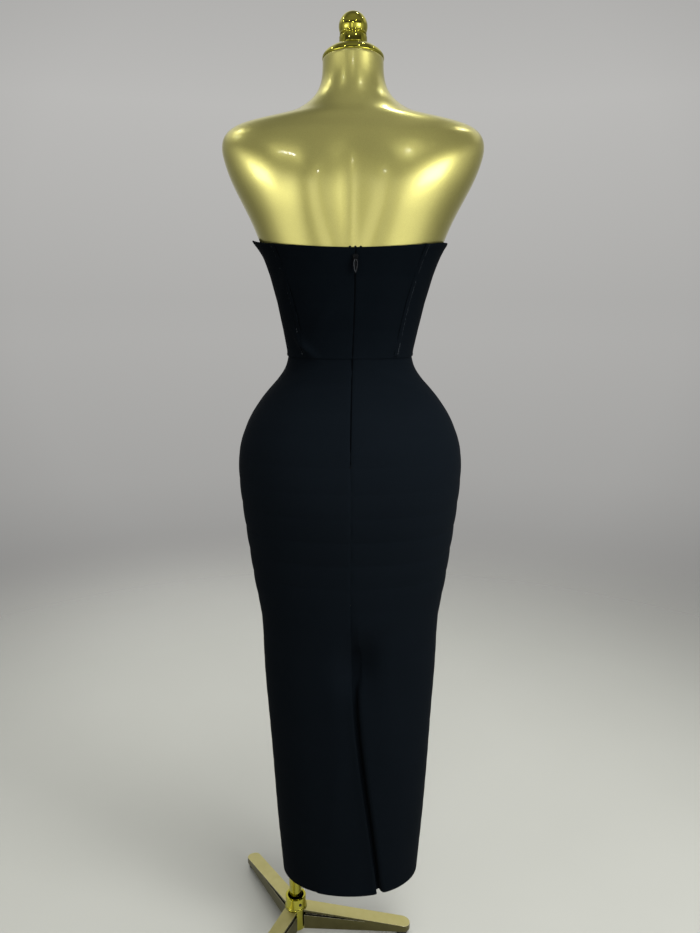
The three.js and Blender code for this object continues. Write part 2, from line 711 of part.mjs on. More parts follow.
const stand = new THREE.Group();
stand.position.set(pole.x, 0, 0);
dressOnForm.add(stand);
const poleTop = formBottomZ + pole.intoForm - contactGap;
place('pole', cylinderAlong('z', pole.radius, pole.bottomZ, poleTop), finish.goldMirror, stand);
place('hub', hubCup(), finish.goldMirror, stand);
const screwTip = pole.radius + contactGap;
place('set_screw', screwAlong(screwTip, hub.radius + 1, setScrew.radius), finish.blackSteel, stand);
for (const [name, angle] of Object.entries(legAngles)) {
  const turned = new THREE.Group();
  turned.rotation.z = radians(angle);
  stand.add(turned);
  place(`leg_${name}`, legGeometry(), finish.goldLegs, turned);
  const footTop = leg.endBottom - contactGap;
  const pad = place(`foot_${name}`, cylinderAlong('z', foot.radius, 0, footTop), finish.rubber, turned);
  pad.position.x = leg.reach - foot.fromEnd;
}

export default dressOnForm;
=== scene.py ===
# %% [markdown]
# A strapless bodycon dress on its dress form
#
# This lesson dresses a finished construction model in its real finishes. The construction, with
# every size and place, comes from the frame, and nothing here moves it. What is added is what the
# eye wants: smooth cloth with its creases, seams with their stitches, the zip, the painted form
# and the plated stand. All lengths are in metres, +Z is up and the back of the dress is at +Y.

# %% Load the frame
import math

import bmesh
import bpy
from mathutils import Matrix, Vector
from mathutils.bvhtree import BVHTree
from mathutils.kdtree import KDTree


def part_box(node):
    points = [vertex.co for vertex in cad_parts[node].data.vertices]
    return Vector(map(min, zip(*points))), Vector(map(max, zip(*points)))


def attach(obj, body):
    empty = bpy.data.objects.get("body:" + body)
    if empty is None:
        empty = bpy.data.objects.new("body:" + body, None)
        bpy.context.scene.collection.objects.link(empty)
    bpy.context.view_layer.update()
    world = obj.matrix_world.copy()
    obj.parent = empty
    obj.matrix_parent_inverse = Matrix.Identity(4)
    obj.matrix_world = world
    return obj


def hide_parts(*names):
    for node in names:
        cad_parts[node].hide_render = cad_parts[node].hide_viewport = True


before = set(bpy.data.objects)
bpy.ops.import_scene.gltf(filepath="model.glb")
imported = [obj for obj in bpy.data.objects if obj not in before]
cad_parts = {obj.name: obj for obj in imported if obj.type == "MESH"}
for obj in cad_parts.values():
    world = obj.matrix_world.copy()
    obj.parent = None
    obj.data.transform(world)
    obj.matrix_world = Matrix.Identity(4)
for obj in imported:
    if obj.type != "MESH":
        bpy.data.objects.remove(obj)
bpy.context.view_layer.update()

MM = 0.001
BODY, PULL = "dress_and_stand", "pull"

# %% [markdown]
# The camera repeats how the dress was looked at: from behind, a little above its waist, tipped
# down by about twelve degrees. The lens is worked out from the focal length in pixels and the long
# side of the picture, because Blender's sensor width belongs to the longer side.

# %% Camera
PICTURE_HIGH = 933
FOCAL_PIXELS = 775.9
EYE = Vector((0.0, 1.33, 1.246))
TIPPED_DOWN = math.radians(12.23)

camera_data = bpy.data.cameras.new("camera")
camera_data.sensor_fit = "AUTO"
camera_data.sensor_width = 36.0
camera_data.lens = FOCAL_PIXELS / PICTURE_HIGH * camera_data.sensor_width
camera = bpy.data.objects.new("camera", camera_data)
camera.location = EYE
camera.rotation_euler = (math.pi / 2 - TIPPED_DOWN, 0, math.pi)
bpy.context.collection.objects.link(camera)
bpy.context.scene.camera = camera
print("lens:", round(camera_data.lens, 2), "mm")

# %% [markdown]
# Shader maths reads best as plain sums. Nodes could be made and linked one by one, but then a sum of
# three terms takes ten lines. So one small class wraps the output of a node, and its operators add
# Math nodes: `1 - mask * 0.3` is a line of Python and a row of nodes at once. A second class holds
# a node tree, and its `add` makes any node from its settings and its inputs. A finish is such a
# tree with one shader, and what is the same all over the surface is set when it is made.

# %% Wires and finishes
class Wire:
    """The output of a node, which can be used in sums."""

    def __init__(self, graph, output):
        self.graph, self.output = graph, output

    def maths(self, operation, first, second=0.0):
        return self.graph.add("ShaderNodeMath", {"operation": operation}, {0: first, 1: second})

    def __add__(self, other):
        return self.maths("ADD", self, other)

    def __sub__(self, other):
        return self.maths("SUBTRACT", self, other)

    def __rsub__(self, other):
        return self.maths("SUBTRACT", other, self)

    def __mul__(self, other):
        return self.maths("MULTIPLY", self, other)

    def sine(self):
        return self.maths("SINE", self)

    def size(self):
        return self.maths("ABSOLUTE", self)

    __radd__, __rmul__ = __add__, __mul__


class Graph:
    """A node tree whose nodes are written as expressions."""

    def __init__(self, tree):
        self.tree = tree

    def feed(self, socket, value):
        if isinstance(value, Wire):
            self.tree.links.new(value.output, socket)
        else:
            socket.default_value = value

    def add(self, kind, settings=None, inputs=None, output=0):
        node = self.tree.nodes.new(kind)
        for name, value in (settings or {}).items():
            if name == "stops":
                self.set_stops(node.color_ramp, value)
            else:
                setattr(node, name, value)
        for name, value in (inputs or {}).items():
            self.feed(node.inputs[name], value)
        return Wire(self, node.outputs[output])

    def set_stops(self, ramp, stops):
        while len(ramp.elements) < len(stops):
            ramp.elements.new(1.0)
        for element, (place, colour) in zip(ramp.elements, stops):
            element.position, element.color = place, colour

    def place(self, output="Object"):
        return self.add("ShaderNodeTexCoord", output=output)

    def axis(self, vector, letter):
        return self.add("ShaderNodeSeparateXYZ", inputs={"Vector": vector}, output=letter)

    def noise(self, vector, scale, detail=2.0, roughness=0.5):
        values = {"Vector": vector, "Scale": scale, "Detail": detail, "Roughness": roughness}
        return self.add("ShaderNodeTexNoise", inputs=values, output="Fac")

    def stretch(self, vector, scale):
        return self.add("ShaderNodeMapping", inputs={"Vector": vector, "Scale": scale})

    def tone(self, factor, *stops):
        """A number that follows the factor, by pairs of a place and the value there."""
        greys = [(place, (value, value, value, 1.0)) for place, value in stops]
        ramp = self.add("ShaderNodeValToRGB", {"stops": greys}, {"Fac": factor}, output="Color")
        return self.axis(ramp, "X")

    def fade(self, value, start, end):
        """0 up to the start and 1 from the end on, with a soft passage between them."""
        limits = {"Value": value, "From Min": start, "From Max": end}
        return self.add("ShaderNodeMapRange", {"interpolation_type": "SMOOTHSTEP"}, limits)

    def mix(self, factor, first, second):
        values = {"Factor": factor, "A": first, "B": second}
        node = self.tree.nodes.new("ShaderNodeMix")
        node.data_type = "RGBA"
        sockets = {s.identifier: s for s in node.inputs}
        for name, identifier in (("Factor", "Factor_Float"), ("A", "A_Color"), ("B", "B_Color")):
            self.feed(sockets[identifier], values[name])
        result = next(s for s in node.outputs if s.identifier == "Result_Color")
        return Wire(self, result)

    def bump(self, height, distance, strength=1.0):
        values = {"Height": height, "Distance": distance, "Strength": strength}
        return self.add("ShaderNodeBump", inputs=values, output="Normal")


class Finish(Graph):
    """A material. What is the same all over the surface is given when it is made."""

    def __init__(self, name, **constants):
        self.material = bpy.data.materials.new(name)
        self.material.use_nodes = True
        super().__init__(self.material.node_tree)
        self.shader = self.tree.nodes["Principled BSDF"]
        self.set(**constants)

    def set(self, **values):
        for socket, value in values.items():
            self.feed(self.shader.inputs[socket.replace("_", " ")], value)


def shade(red, green, blue):
    return (red, green, blue, 1.0)


def grained(name, scale, detail, dark, light, roughness, bump=0.0, **constants):
    """A finish whose colour, roughness and surface follow one fine noise."""
    finish = Finish(name, **constants)
    grain = finish.noise(finish.place(), scale, detail)
    least, more = roughness
    finish.set(Base_Color=finish.mix(grain, shade(*dark), shade(*light)), Roughness=grain * more + least)
    if bump:
        finish.set(Normal=finish.bump(grain, bump))
    return finish


# %% [markdown]
# The cloth is a heavy bandage knit. Its colour is one deep black with a breath of blue, so what
# the eye reads is the surface: narrow knitted rows round the body, each a row of small loops. Both
# are sine waves in the bump. An image could carry them too, but it would blur close up. The
# pattern follows a UV map in metres, laid round the figure, because it has to bend with the cloth.
# The colour is painted lighter over the hips, darker towards the hem and darkest over the bodice,
# as painted light and shade: the hips face up into the light and the bodice leans away from it. A
# ramp over the height, scaled to lie between 0 and 1, paints it.
# The sheen is low, and the roughness wanders a little.

# %% Black bandage knit
KNIT_ROW = 1.5 * MM
KNIT_LOOP = 1.3 * MM
UP_THE_DRESS = 0.7

knit = Finish("black_bandage_knit", Sheen_Weight=0.008, Sheen_Roughness=0.4, Specular_IOR_Level=0.014)
cloth_place = knit.place("UV")
round_body, up_body = knit.axis(cloth_place, "X"), knit.axis(cloth_place, "Y")
row_wave = (up_body * (math.pi / KNIT_ROW)).sine()
rows = row_wave.size()
loops = (round_body * (math.pi / KNIT_LOOP) + row_wave * 0.9).sine().size()
cloudy = knit.noise(cloth_place, 9.0, 4.0, 0.55)
# painted light and shade: the knit is lighter over the hips and darker over the bodice and towards the hem
painted_light_by_height = knit.tone(up_body * UP_THE_DRESS, (0.10, 0.30), (0.50, 0.46), (0.66, 0.66), (0.74, 0.62),
                   (0.79, 0.34), (0.84, 0.14), (0.95, 0.04))
fuzz = knit.noise(cloth_place, 900.0, 2.0, 0.6)
knit_height = rows * 0.6 + loops * 0.4 + fuzz * 0.35
knit.set(
    Base_Color=knit.mix(
        painted_light_by_height * 0.8 + cloudy * 0.2,
        shade(0.0010, 0.0018, 0.0027), shade(0.0050, 0.0072, 0.0100),
    ),
    Roughness=cloudy * 0.12 + fuzz * 0.06 + 0.74,
    Normal=knit.bump(knit_height, 0.16 * MM, 0.55),
)

# %% [markdown]
# Thread, coil and the lacquered zip parts are black too, but smoother, so they catch a thin light.
# The thread's twist is a fine wave along it. The other finishes need no more than one noise, which
# sets their colour, roughness and surface together. The inner wall of the pull's rim is painted a
# dull grey, as a painted highlight.

# %% Thread, coil and lacquer
thread = Finish("black_thread", Specular_IOR_Level=0.4)
twist = (thread.axis(thread.place(), "Z") * 5200.0).sine()
thread.set(
    Base_Color=thread.mix(twist * 0.5 + 0.5, shade(0.030, 0.035, 0.042), shade(0.075, 0.085, 0.098)),
    Roughness=0.55,
    Normal=thread.bump(twist, 0.05 * MM),
)

coil_finish = grained("black_coil", 700.0, 2.0, (0.0004, 0.0006, 0.0009), (0.0009, 0.0013, 0.0018),
                      (0.6, 0.15), 0.03 * MM, Specular_IOR_Level=0.02)
lacquer = grained("black_lacquer", 420.0, 3.0, (0.0012, 0.0016, 0.0021), (0.0030, 0.0036, 0.0044),
                  (0.22, 0.2), 0.02 * MM, Coat_Weight=0.06, Coat_Roughness=0.15, Specular_IOR_Level=0.05)
# painted highlight: a lighter grey lacquer for the inner wall of the pull's rim
rim_highlight = grained("painted_highlight_lacquer", 600.0, 3.0, (0.014, 0.016, 0.019), (0.060, 0.066, 0.074),
                      (0.3, 0.2), Metallic=0.4)

# %% [markdown]
# The form is moulded, sprayed with gold paint and lacquered. Metallic paint is a metal broken into
# tiny flakes, so it has a wide soft glow with a sharper gloss on top. A plain rough metal would
# give the glow alone. Here the flakes are fine cells that tint the colour and tip the surface, and
# the gloss is the coat. Slow waves in the roughness stand for the spray passes.

# %% Gold paint on the form
FLAKE_SCALE = 2400.0
paint = Finish("gold_form_paint", Metallic=0.96, Coat_Weight=0.5, Coat_Roughness=0.07)
paint_place = paint.place()
flakes = paint.add("ShaderNodeTexVoronoi", {"feature": "F1"},
                   {"Vector": paint_place, "Scale": FLAKE_SCALE}, output="Color")
flake_tone = paint.axis(flakes, "X")
spray = paint.noise(paint_place, 5.5, 3.0, 0.5)
orange_peel = paint.noise(paint_place, 160.0, 2.0, 0.5)
paint.set(
    Base_Color=paint.mix(
        flake_tone * 0.5 + spray * 0.5,
        shade(0.56, 0.51, 0.145),
        shade(0.74, 0.70, 0.235),
    ),
    Roughness=spray * 0.06 + flake_tone * 0.06 + 0.26,
    Normal=paint.bump(flake_tone * 0.12 + orange_peel, 0.05 * MM, 0.6),
)

# %% [markdown]
# Plated parts are made mirror bright on the cap, finial, pole and hub, and left satin on the
# cast legs. A mirror still has faint wipe marks, made by stretching a noise upwards, and they show
# mostly in the roughness. The satin finish has a fine even grain over the slow unevenness of the
# casting. On the legs light and shade are painted: read from the normal of a face, the tops get a
# light gold as painted light and the walls a dark olive as painted shade. The edges get a painted
# highlight, a bright gold line, and the grooves painted shade.

# %% Gold plate
mirror = Finish("gold_mirror_plate", Metallic=1.0)
mirror_place = mirror.place()
wiped = mirror.noise(mirror.stretch(mirror_place, (30.0, 30.0, 6.0)), 2.0, 5.0, 0.6)
mirror.set(
    Base_Color=mirror.mix(wiped, shade(0.44, 0.41, 0.045), shade(0.60, 0.56, 0.095)),
    Roughness=wiped * 0.07 + 0.035,
    Normal=mirror.bump(wiped, 0.03 * MM, 0.4),
)

satin = Finish("gold_satin_plate", Metallic=0.95)
satin_place = satin.place()
fine_grain = satin.noise(satin_place, 720.0, 3.0, 0.6)
cast = satin.noise(satin_place, 45.0, 3.0, 0.5)
upright = satin.axis(satin.add("ShaderNodeNewGeometry", output="Normal"), "Z")
# painted light and shade: faces turned up get the lit gold, walls the shaded dark olive
painted_light_by_facing = satin.add("ShaderNodeMapRange", inputs={"Value": upright, "From Min": 0.1, "From Max": 0.75})
lit_top_gold = satin.mix(cast, shade(0.60, 0.54, 0.20), shade(0.76, 0.70, 0.32))
shaded_wall_gold = satin.mix(cast, shade(0.10, 0.090, 0.036), shade(0.16, 0.145, 0.062))
satin.set(
    Base_Color=satin.mix(painted_light_by_facing, shaded_wall_gold, lit_top_gold),
    Roughness=cast * 0.12 + fine_grain * 0.06 + 0.24,
    Normal=satin.bump(fine_grain * 0.5 + cast * 0.5, 0.06 * MM, 0.5),
)

# painted highlight: a bright, almost white gold for the rounded edges of the legs
edge_highlight_gold = grained("painted_highlight_gold_edge", 90.0, 3.0, (0.88, 0.82, 0.52), (1.0, 0.96, 0.70),
                      (0.2, 0.15), Metallic=0.9)
groove_shade = grained("painted_groove_shade", 120.0, 3.0, (0.006, 0.006, 0.004), (0.022, 0.020, 0.012),
                 (0.5, 0.2), Metallic=0.3)

# %% [markdown]
# The set screw is blackened steel, with a thin satin oxide, and the foot pads are matte rubber,
# whose moulded skin is a little pitted. Both are small, so one noise each is enough.

# %% Black steel and rubber
steel = grained("black_oxide_steel", 350.0, 3.0, (0.010, 0.010, 0.012), (0.032, 0.032, 0.036),
                (0.32, 0.2), 0.02 * MM, Metallic=0.7)
rubber = grained("foot_rubber", 260.0, 4.0, (0.010, 0.010, 0.010), (0.026, 0.026, 0.025),
                 (0.74, 0.12), 0.08 * MM)
FINISHES = (knit, thread, coil_finish, lacquer, rim_highlight, paint, mirror, satin, edge_highlight_gold, groove_shade,
            steel, rubber)
print("finishes:", [finish.material.name for finish in FINISHES])


# %% [markdown]
# Every piece ends the same way: its mesh becomes an object at the origin, with its material, and
# it says which body it rides on, which slot it is painted from and which solids it stands for.
# Some pieces are shaped further after their modifiers, so there is a helper that gives the mesh as
# the modifiers leave it, and one that puts a finished mesh back.

# %% Making an object
def make_piece(name, shape, finish, body=BODY, stands_for=(), smooth_angle=40.0):
    mesh = bpy.data.meshes.new(name)
    shape.to_mesh(mesh)
    shape.free()
    mesh.materials.append(finish.material)
    mesh.shade_smooth()
    mesh.set_sharp_from_angle(angle=math.radians(smooth_angle))
    piece = bpy.data.objects.new(name, mesh)
    bpy.context.collection.objects.link(piece)
    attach(piece, body)
    if stands_for:
        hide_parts(*stands_for)
    return piece


def modifier(piece, kind, **settings):
    added = piece.modifiers.new(kind.lower(), kind)
    for name, value in settings.items():
        setattr(added, name, value)
    return added


def settled(piece):
    """A new bmesh of a piece as its modifiers leave it."""
    bpy.context.view_layer.update()
    seen = piece.evaluated_get(bpy.context.evaluated_depsgraph_get())
    shape = bmesh.new()
    shape.from_mesh(seen.to_mesh())
    seen.to_mesh_clear()
    return shape


def skin_of(piece):
    shape = settled(piece)
    tree = BVHTree.FromBMesh(shape)
    shape.free()
    return tree


def apply_shape(piece, shape):
    """Gives a piece a new mesh and takes its modifiers off."""
    piece.modifiers.clear()
    shape.to_mesh(piece.data)
    shape.free()
    piece.data.shade_smooth()


# %% [markdown]
# The solids of the construction model are made of flat facets. A copy of one, with its loose
# triangles welded and paired into quads, is a good cage: subdividing it gives a smooth surface
# that still lies where the construction says. For cloth only the outer skin of the wall is kept.

# %% Cages from the solids
WELD = 0.02 * MM
LEAST_OUTWARD = 0.25


def cage_of(node, pair=True):
    shape = bmesh.new()
    shape.from_mesh(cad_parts[node].data)
    bmesh.ops.remove_doubles(shape, verts=shape.verts, dist=WELD)
    if pair:
        bmesh.ops.join_triangles(
            shape, faces=shape.faces,
            angle_face_threshold=math.radians(50), angle_shape_threshold=math.radians(70),
        )
    return shape


def outer_skin(node):
    """The faces of a wall that look away from the middle of the figure."""
    shape = cage_of(node)
    shape.normal_update()
    inner = []
    for face in shape.faces:
        centre = face.calc_center_median()
        outward = Vector((centre.x, centre.y, 0)).normalized()
        if face.normal.dot(outward) < LEAST_OUTWARD:
            inner.append(face)
    bmesh.ops.delete(shape, geom=inner, context="FACES")
    return shape


# %% [markdown]
# The form is one smooth moulding. It could be sculpted, but the rings of the solid already carry its
# measures, so they are the cage. The flat ends are taken off first, because they would pull the
# smoothing out of line; the neck's end is slanted. Two levels of subdivision turn the rings into a
# skin that shines evenly, and then the open ends are closed again and their rims rounded. A figure
# has a shallow furrow along its spine with a swelling on each side, so its points are moved a
# little there.

# %% The form
form_low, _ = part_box("form_torso")
POLE_X, SOCKET_RADIUS = 108 * MM, 12.85 * MM
END_DEPTH, SOCKET_NEAR, RIM_ROUND = 0.4 * MM, 0.5 * MM, 0.5 * MM
NECK_TOP = Vector((-5, -6, 1613)) * MM
NECK_SLANT = math.radians(6.5)
neck_axis = Matrix.Translation(NECK_TOP) @ Matrix.Rotation(NECK_SLANT, 4, "X")
across_neck = neck_axis.inverted()
SPINE_DEEP, SPINE_WIDE, SPINE_Z, SPINE_TALL = 2.4 * MM, 16.5 * MM, 1385 * MM, 90 * MM
# each row is the x and z of the middle, the height, the width and how tall it is, in millimetres
BLADES = ((50, 1425, 2.6, 34, 62), (-56, 1425, 1.4, 36, 62), (98, 1430, -1.2, 20, 60))


def is_end_of_form(face):
    """The flat top and underside, and the wall of the socket."""
    if max(v.co.z for v in face.verts) < form_low.z + END_DEPTH:
        return True
    if min((across_neck @ v.co).z for v in face.verts) > -END_DEPTH:
        return True
    away = [abs((v.co.xy - Vector((POLE_X, 0))).length - SOCKET_RADIUS) for v in face.verts]
    return max(away) < SOCKET_NEAR


def back_relief(place):
    """How far the furrow along the spine and the swellings beside it move the skin outwards."""
    spine = SPINE_DEEP * math.exp(-((place.x / SPINE_WIDE) ** 2) - ((place.z - SPINE_Z) / SPINE_TALL) ** 4)
    across, up = place.x / MM, place.z / MM
    blades = sum(
        height * math.exp(-(((across - x) / wide) ** 2) - ((up - z) / tall) ** 2)
        for x, z, height, wide, tall in BLADES
    )
    return blades * MM - spine


body_cage = cage_of("form_torso")
bmesh.ops.delete(body_cage, geom=[f for f in body_cage.faces if is_end_of_form(f)], context="FACES")
form = make_piece("form_moulding", body_cage, paint, BODY, ("form_torso",), 180.0)
modifier(form, "SUBSURF", levels=2, render_levels=2)
body_skin = settled(form)
body_skin.normal_update()
for point in [v for v in body_skin.verts if v.co.y > 0]:
    point.co += point.normal * back_relief(point.co)
filled = bmesh.ops.holes_fill(body_skin, edges=[e for e in body_skin.edges if e.is_boundary], sides=0)
rims = {edge for face in filled["faces"] for edge in face.edges}
bmesh.ops.bevel(body_skin, geom=list(rims), offset=RIM_ROUND, segments=2, profile=0.5,
                affect="EDGES", clamp_overlap=True, material=-1)
apply_shape(form, body_skin)
form.data.set_sharp_from_angle(angle=math.radians(50))
print("form:", len(form.data.polygons), "faces")

# %% [markdown]
# Sewn edges touch, and the solids leave 0.3 mm between panels. So the outermost points of a seam
# are drawn across that gap before the cage is subdivided. Along the zip the gap is wider, since
# the coil lies in it: there the two edges are drawn nearly together, and the coil shows between
# them as a thin dark line, which is how an invisible zip looks. At the waist the bodice was sewn
# on over the skirt, so its lower edge reaches a little past the seam.

# %% Closing the seams
ZIP_FROM, ZIP_TO, ZIP_NEAR = 973 * MM, 989 * MM, 20 * MM
WAIST = 1153 * MM
SEAM_REACH = 0.13 * MM
ZIP_REACH = 0.85 * MM
WAIST_REACH = 1.6 * MM
WAIST_NEAR = 2.5 * MM
LEVEL_ENOUGH = 0.5


def ease(share):
    share = min(1.0, max(0.0, share))
    return share * share * (3 - 2 * share)


def is_zip_edge(point):
    return point.y > 0 and abs(point.x) < ZIP_NEAR and point.z > ZIP_FROM


def is_waist_edge(point):
    return abs(point.z - WAIST) < WAIST_NEAR


def close_seams(shape, over_waist):
    """Draws the outermost points of a sheet across the gap to its neighbour."""
    moves = []
    for point in (v for v in shape.verts if v.is_boundary):
        beside = [e.other_vert(point) for e in point.link_edges]
        beside = [v for v in beside if abs(v.co.z - point.co.z) < LEVEL_ENOUGH * (v.co - point.co).length]
        if len(beside) == 1:
            reach = SEAM_REACH
            if is_zip_edge(point.co):
                reach += (ZIP_REACH - SEAM_REACH) * ease((point.co.z - ZIP_FROM) / (ZIP_TO - ZIP_FROM))
            moves.append((point, (point.co - beside[0].co).normalized() * reach))
        if over_waist and is_waist_edge(point.co):
            moves.append((point, Vector((0, 0, -WAIST_REACH))))
    for point, move in moves:
        point.co += move
    print(len(moves), "border points moved")
    return shape


# %% [markdown]
# A knit dress that is stretched over a form has few folds, and they are shallow. A simulation would
# put them where it likes, so they are listed one by one. Each row of the table is one crease or
# swelling: where its middle is, by height and by angle round the figure, how far it stands out or
# dips in millimetres, how long and how wide it is in metres, and how it is tilted in degrees. The
# vent makes the largest one, a soft hollow beside its top, and the waist gathers several short ones.

# %% Creases
CREASE_COLUMNS = ("z", "angle", "height", "long", "wide", "tilt")
CREASES = [dict(zip(CREASE_COLUMNS, row)) for row in (
    # the back
    (0.628, 97.0, -22.0, 0.048, 0.032, 84.0),
    (0.700, 112.0, 2.4, 0.050, 0.020, 30.0),
    (0.560, 76.0, 2.0, 0.120, 0.020, 86.0),
    (0.560, 124.0, 1.8, 0.110, 0.022, 94.0),
    (0.430, 78.0, 1.6, 0.110, 0.016, 82.0),
    (0.300, 72.0, 1.4, 0.100, 0.018, 80.0),
    (1.167, 42.0, 4.8, 0.020, 0.0065, -38.0),
    (1.186, 34.0, 2.4, 0.026, 0.0080, -52.0),
    (1.210, 59.0, 3.2, 0.046, 0.0110, 52.0),
    (1.236, 118.0, 1.4, 0.060, 0.0220, 78.0),
    (1.120, 44.0, 1.3, 0.034, 0.0070, 24.0),
    (1.108, 60.0, -0.8, 0.036, 0.0080, 12.0),
    (1.116, 136.0, 1.2, 0.032, 0.0080, -26.0),
    (1.172, 138.0, 1.6, 0.024, 0.0070, 34.0),
    (1.288, 33.0, 1.8, 0.038, 0.0100, 66.0),
    (1.276, 150.0, 1.5, 0.038, 0.0100, -64.0),
    (1.318, 118.0, 0.9, 0.030, 0.0140, 0.0),
    (1.316, 66.0, 0.8, 0.028, 0.0120, 4.0),
    (1.010, 100.0, 0.9, 0.060, 0.0140, 12.0),
    (0.900, 80.0, 0.8, 0.080, 0.0180, -8.0),
    # the sides and the front, of the same kind
    (1.125, 200.0, -1.0, 0.034, 0.008, 18.0),
    (1.142, 232.0, -0.7, 0.030, 0.007, 8.0),
    (1.120, 338.0, -1.0, 0.036, 0.008, -16.0),
    (1.138, 300.0, -0.7, 0.028, 0.007, -6.0),
    (1.030, 262.0, -0.8, 0.050, 0.010, 4.0),
    (0.985, 285.0, -0.6, 0.046, 0.010, -6.0),
    (0.900, 214.0, -0.8, 0.060, 0.012, 30.0),
    (0.905, 327.0, -0.8, 0.060, 0.012, -30.0),
    (0.690, 262.0, -2.2, 0.090, 0.022, 84.0),
    (0.650, 284.0, 1.4, 0.100, 0.020, 94.0),
    (0.520, 250.0, 1.3, 0.120, 0.022, 86.0),
    (0.360, 272.0, -1.6, 0.110, 0.024, 90.0),
    (0.280, 296.0, 1.2, 0.090, 0.020, 98.0),
    (0.520, 176.0, -1.2, 0.110, 0.018, 88.0),
    (0.400, 4.0, -1.2, 0.110, 0.018, 92.0),
    (1.226, 270.0, 1.8, 0.030, 0.016, 0.0),
    (1.300, 270.0, 1.6, 0.030, 0.030, 0.0),
)]
MOST_DIP_ON_FORM = 0.8 * MM
FORM_EDGE = 745 * MM
VENT_TOP = 700 * MM


def bell(away, wide):
    return math.exp(-((away / wide) ** 2))


def angle_round(point):
    return math.atan2(point.y, point.x) % (2 * math.pi)


def crease_height(point):
    """How far the creases move a point of the cloth outwards, in metres."""
    angle, far = angle_round(point), math.hypot(point.x, point.y)
    total = 0.0
    for crease in CREASES:
        rise = point.z - crease["z"]
        if abs(rise) > 3 * crease["long"]:
            continue
        turn = (angle - math.radians(crease["angle"]) + math.pi) % (2 * math.pi) - math.pi
        if abs(turn) * far > 3 * crease["long"]:
            continue
        tilt = math.radians(crease["tilt"])
        along = (turn * far * math.cos(tilt) + rise * math.sin(tilt)) / crease["long"]
        across = (rise * math.cos(tilt) - turn * far * math.sin(tilt)) / crease["wide"]
        total += crease["height"] * MM * math.exp(-along * along - across * across)
    return max(total, -MOST_DIP_ON_FORM) if point.z > FORM_EDGE else total


# %% [markdown]
# Bandage knit is made in strips that run round the body. Each strip is a little fuller in its
# middle than at its joins, most of all over the thighs, where the side of the dress shows them as
# shallow waves. The hem and the top edge are turned in and are therefore double.

# %% Knitted strips and turned edges
STRIP_TALL = 42.5 * MM
STRIP_JOIN = 771.3 * MM
STRIP_PILLOW = 0.40 * MM
STRIP_AT_THIGH, THIGH_Z, THIGH_TALL = 1.0 * MM, 830 * MM, 110 * MM
PILLOW_POWER, PILLOW_MEAN = 0.6, 0.75
HEM, TURNED_HEM, TURNED_TOP, TURNED_THICK = 160 * MM, 22 * MM, 9 * MM, 0.35 * MM
TURNED_SOFT = 1.5 * MM
TOP_AT_SIDE, DROP_AT_BACK, RISE_AT_FRONT = 1336 * MM, 13 * MM, 8 * MM


def strip_height(z):
    pillow = abs(math.sin(math.pi * (z - STRIP_JOIN) / STRIP_TALL)) ** PILLOW_POWER - PILLOW_MEAN
    return pillow * (STRIP_PILLOW + STRIP_AT_THIGH * bell(z - THIGH_Z, THIGH_TALL))


def top_of_dress(angle):
    change = -DROP_AT_BACK if math.sin(angle) > 0 else RISE_AT_FRONT
    return TOP_AT_SIDE + change * math.sin(angle) ** 2


def turned_height(point):
    below_top = top_of_dress(angle_round(point)) - point.z
    at_top = 1 - ease((below_top - TURNED_TOP) / TURNED_SOFT)
    at_hem = 1 - ease((point.z - HEM - TURNED_HEM) / TURNED_SOFT)
    return TURNED_THICK * (at_top + at_hem)


print("top edge at the side, back and front:",
      [round(top_of_dress(math.radians(angle)), 4) for angle in (0, 90, 270)])


# %% [markdown]
# Two places need more than a crease. At the wearer's left the top edge stands away from the form
# and points up, with the side seam as its tip. At the vent the right panel is folded in: beside
# the edge of the left one it drops sharply, so a dark gap shows, and at the vent's top the two lie
# flush. The edge itself is a few points, by height and by place across, in millimetres.

# %% The corner and the vent fold
TIP_FROM, TIP_OUT, TIP_UP, TIP_WIDE = 1310 * MM, 6.5 * MM, 4.5 * MM, 26 * MM
EDGE_OF_VENT = ((160, -48.5), (287, -33.7), (389, -20.5), (476, -10.6), (580, -2.5), (721, -0.8))
FOLD_DEEP, FOLD_MIDDLE, FOLD_WIDE = 5.5 * MM, 4.0 * MM, 3.6 * MM
FOLD_FROM, FOLD_FULL = 618 * MM, 545 * MM
FLUSH_LIFT, FLUSH_WIDE, FLUSH_TOP = 0.9 * MM, 12 * MM, VENT_TOP + 20 * MM
FAR_BACK, FAR_LEFT, BESIDE_VENT = 50 * MM, 50 * MM, 60 * MM


def tip_move(point):
    if point.x < FAR_LEFT:
        return Vector()
    share = ease((point.z - TIP_FROM) / (top_of_dress(0) - TIP_FROM)) * bell(point.y, TIP_WIDE)
    return Vector((TIP_OUT, 0, TIP_UP)) * share


def vent_edge_x(z):
    for (low_z, low_x), (high_z, high_x) in zip(EDGE_OF_VENT, EDGE_OF_VENT[1:]):
        if z <= high_z * MM:
            return (low_x + (high_x - low_x) * max(0, z / MM - low_z) / (high_z - low_z)) * MM
    return high_x * MM


def vent_share(point):
    """How open the vent is: nothing at its top, where the panels lie flush, and 1 further down."""
    return ease((FOLD_FROM - point.z) / (FOLD_FROM - FOLD_FULL))


def fold_height(point):
    if point.y < FAR_BACK or point.z > FLUSH_TOP:
        return 0.0
    beyond, share = vent_edge_x(point.z) - point.x, vent_share(point)
    flush = FLUSH_LIFT * bell(beyond, FLUSH_WIDE) * (1 - share)
    return flush - FOLD_DEEP * bell(beyond - FOLD_MIDDLE, FOLD_WIDE) * share


# %% [markdown]
# A panel starts as the outer skin of its solid, drawn over its seams and subdivided. Then its
# points are moved: by the creases and the knitted strips over all of it, and inwards beside the
# seams, where the stitching pulls the edges down. Which seam is nearest decides how: the waist is
# smoother at the middle of the back than at the sides, and the turned edges aren't drawn in at all.
# Solidify gives the panel the thickness of the cloth towards the inside, and a small bevel rounds
# its cut edges.

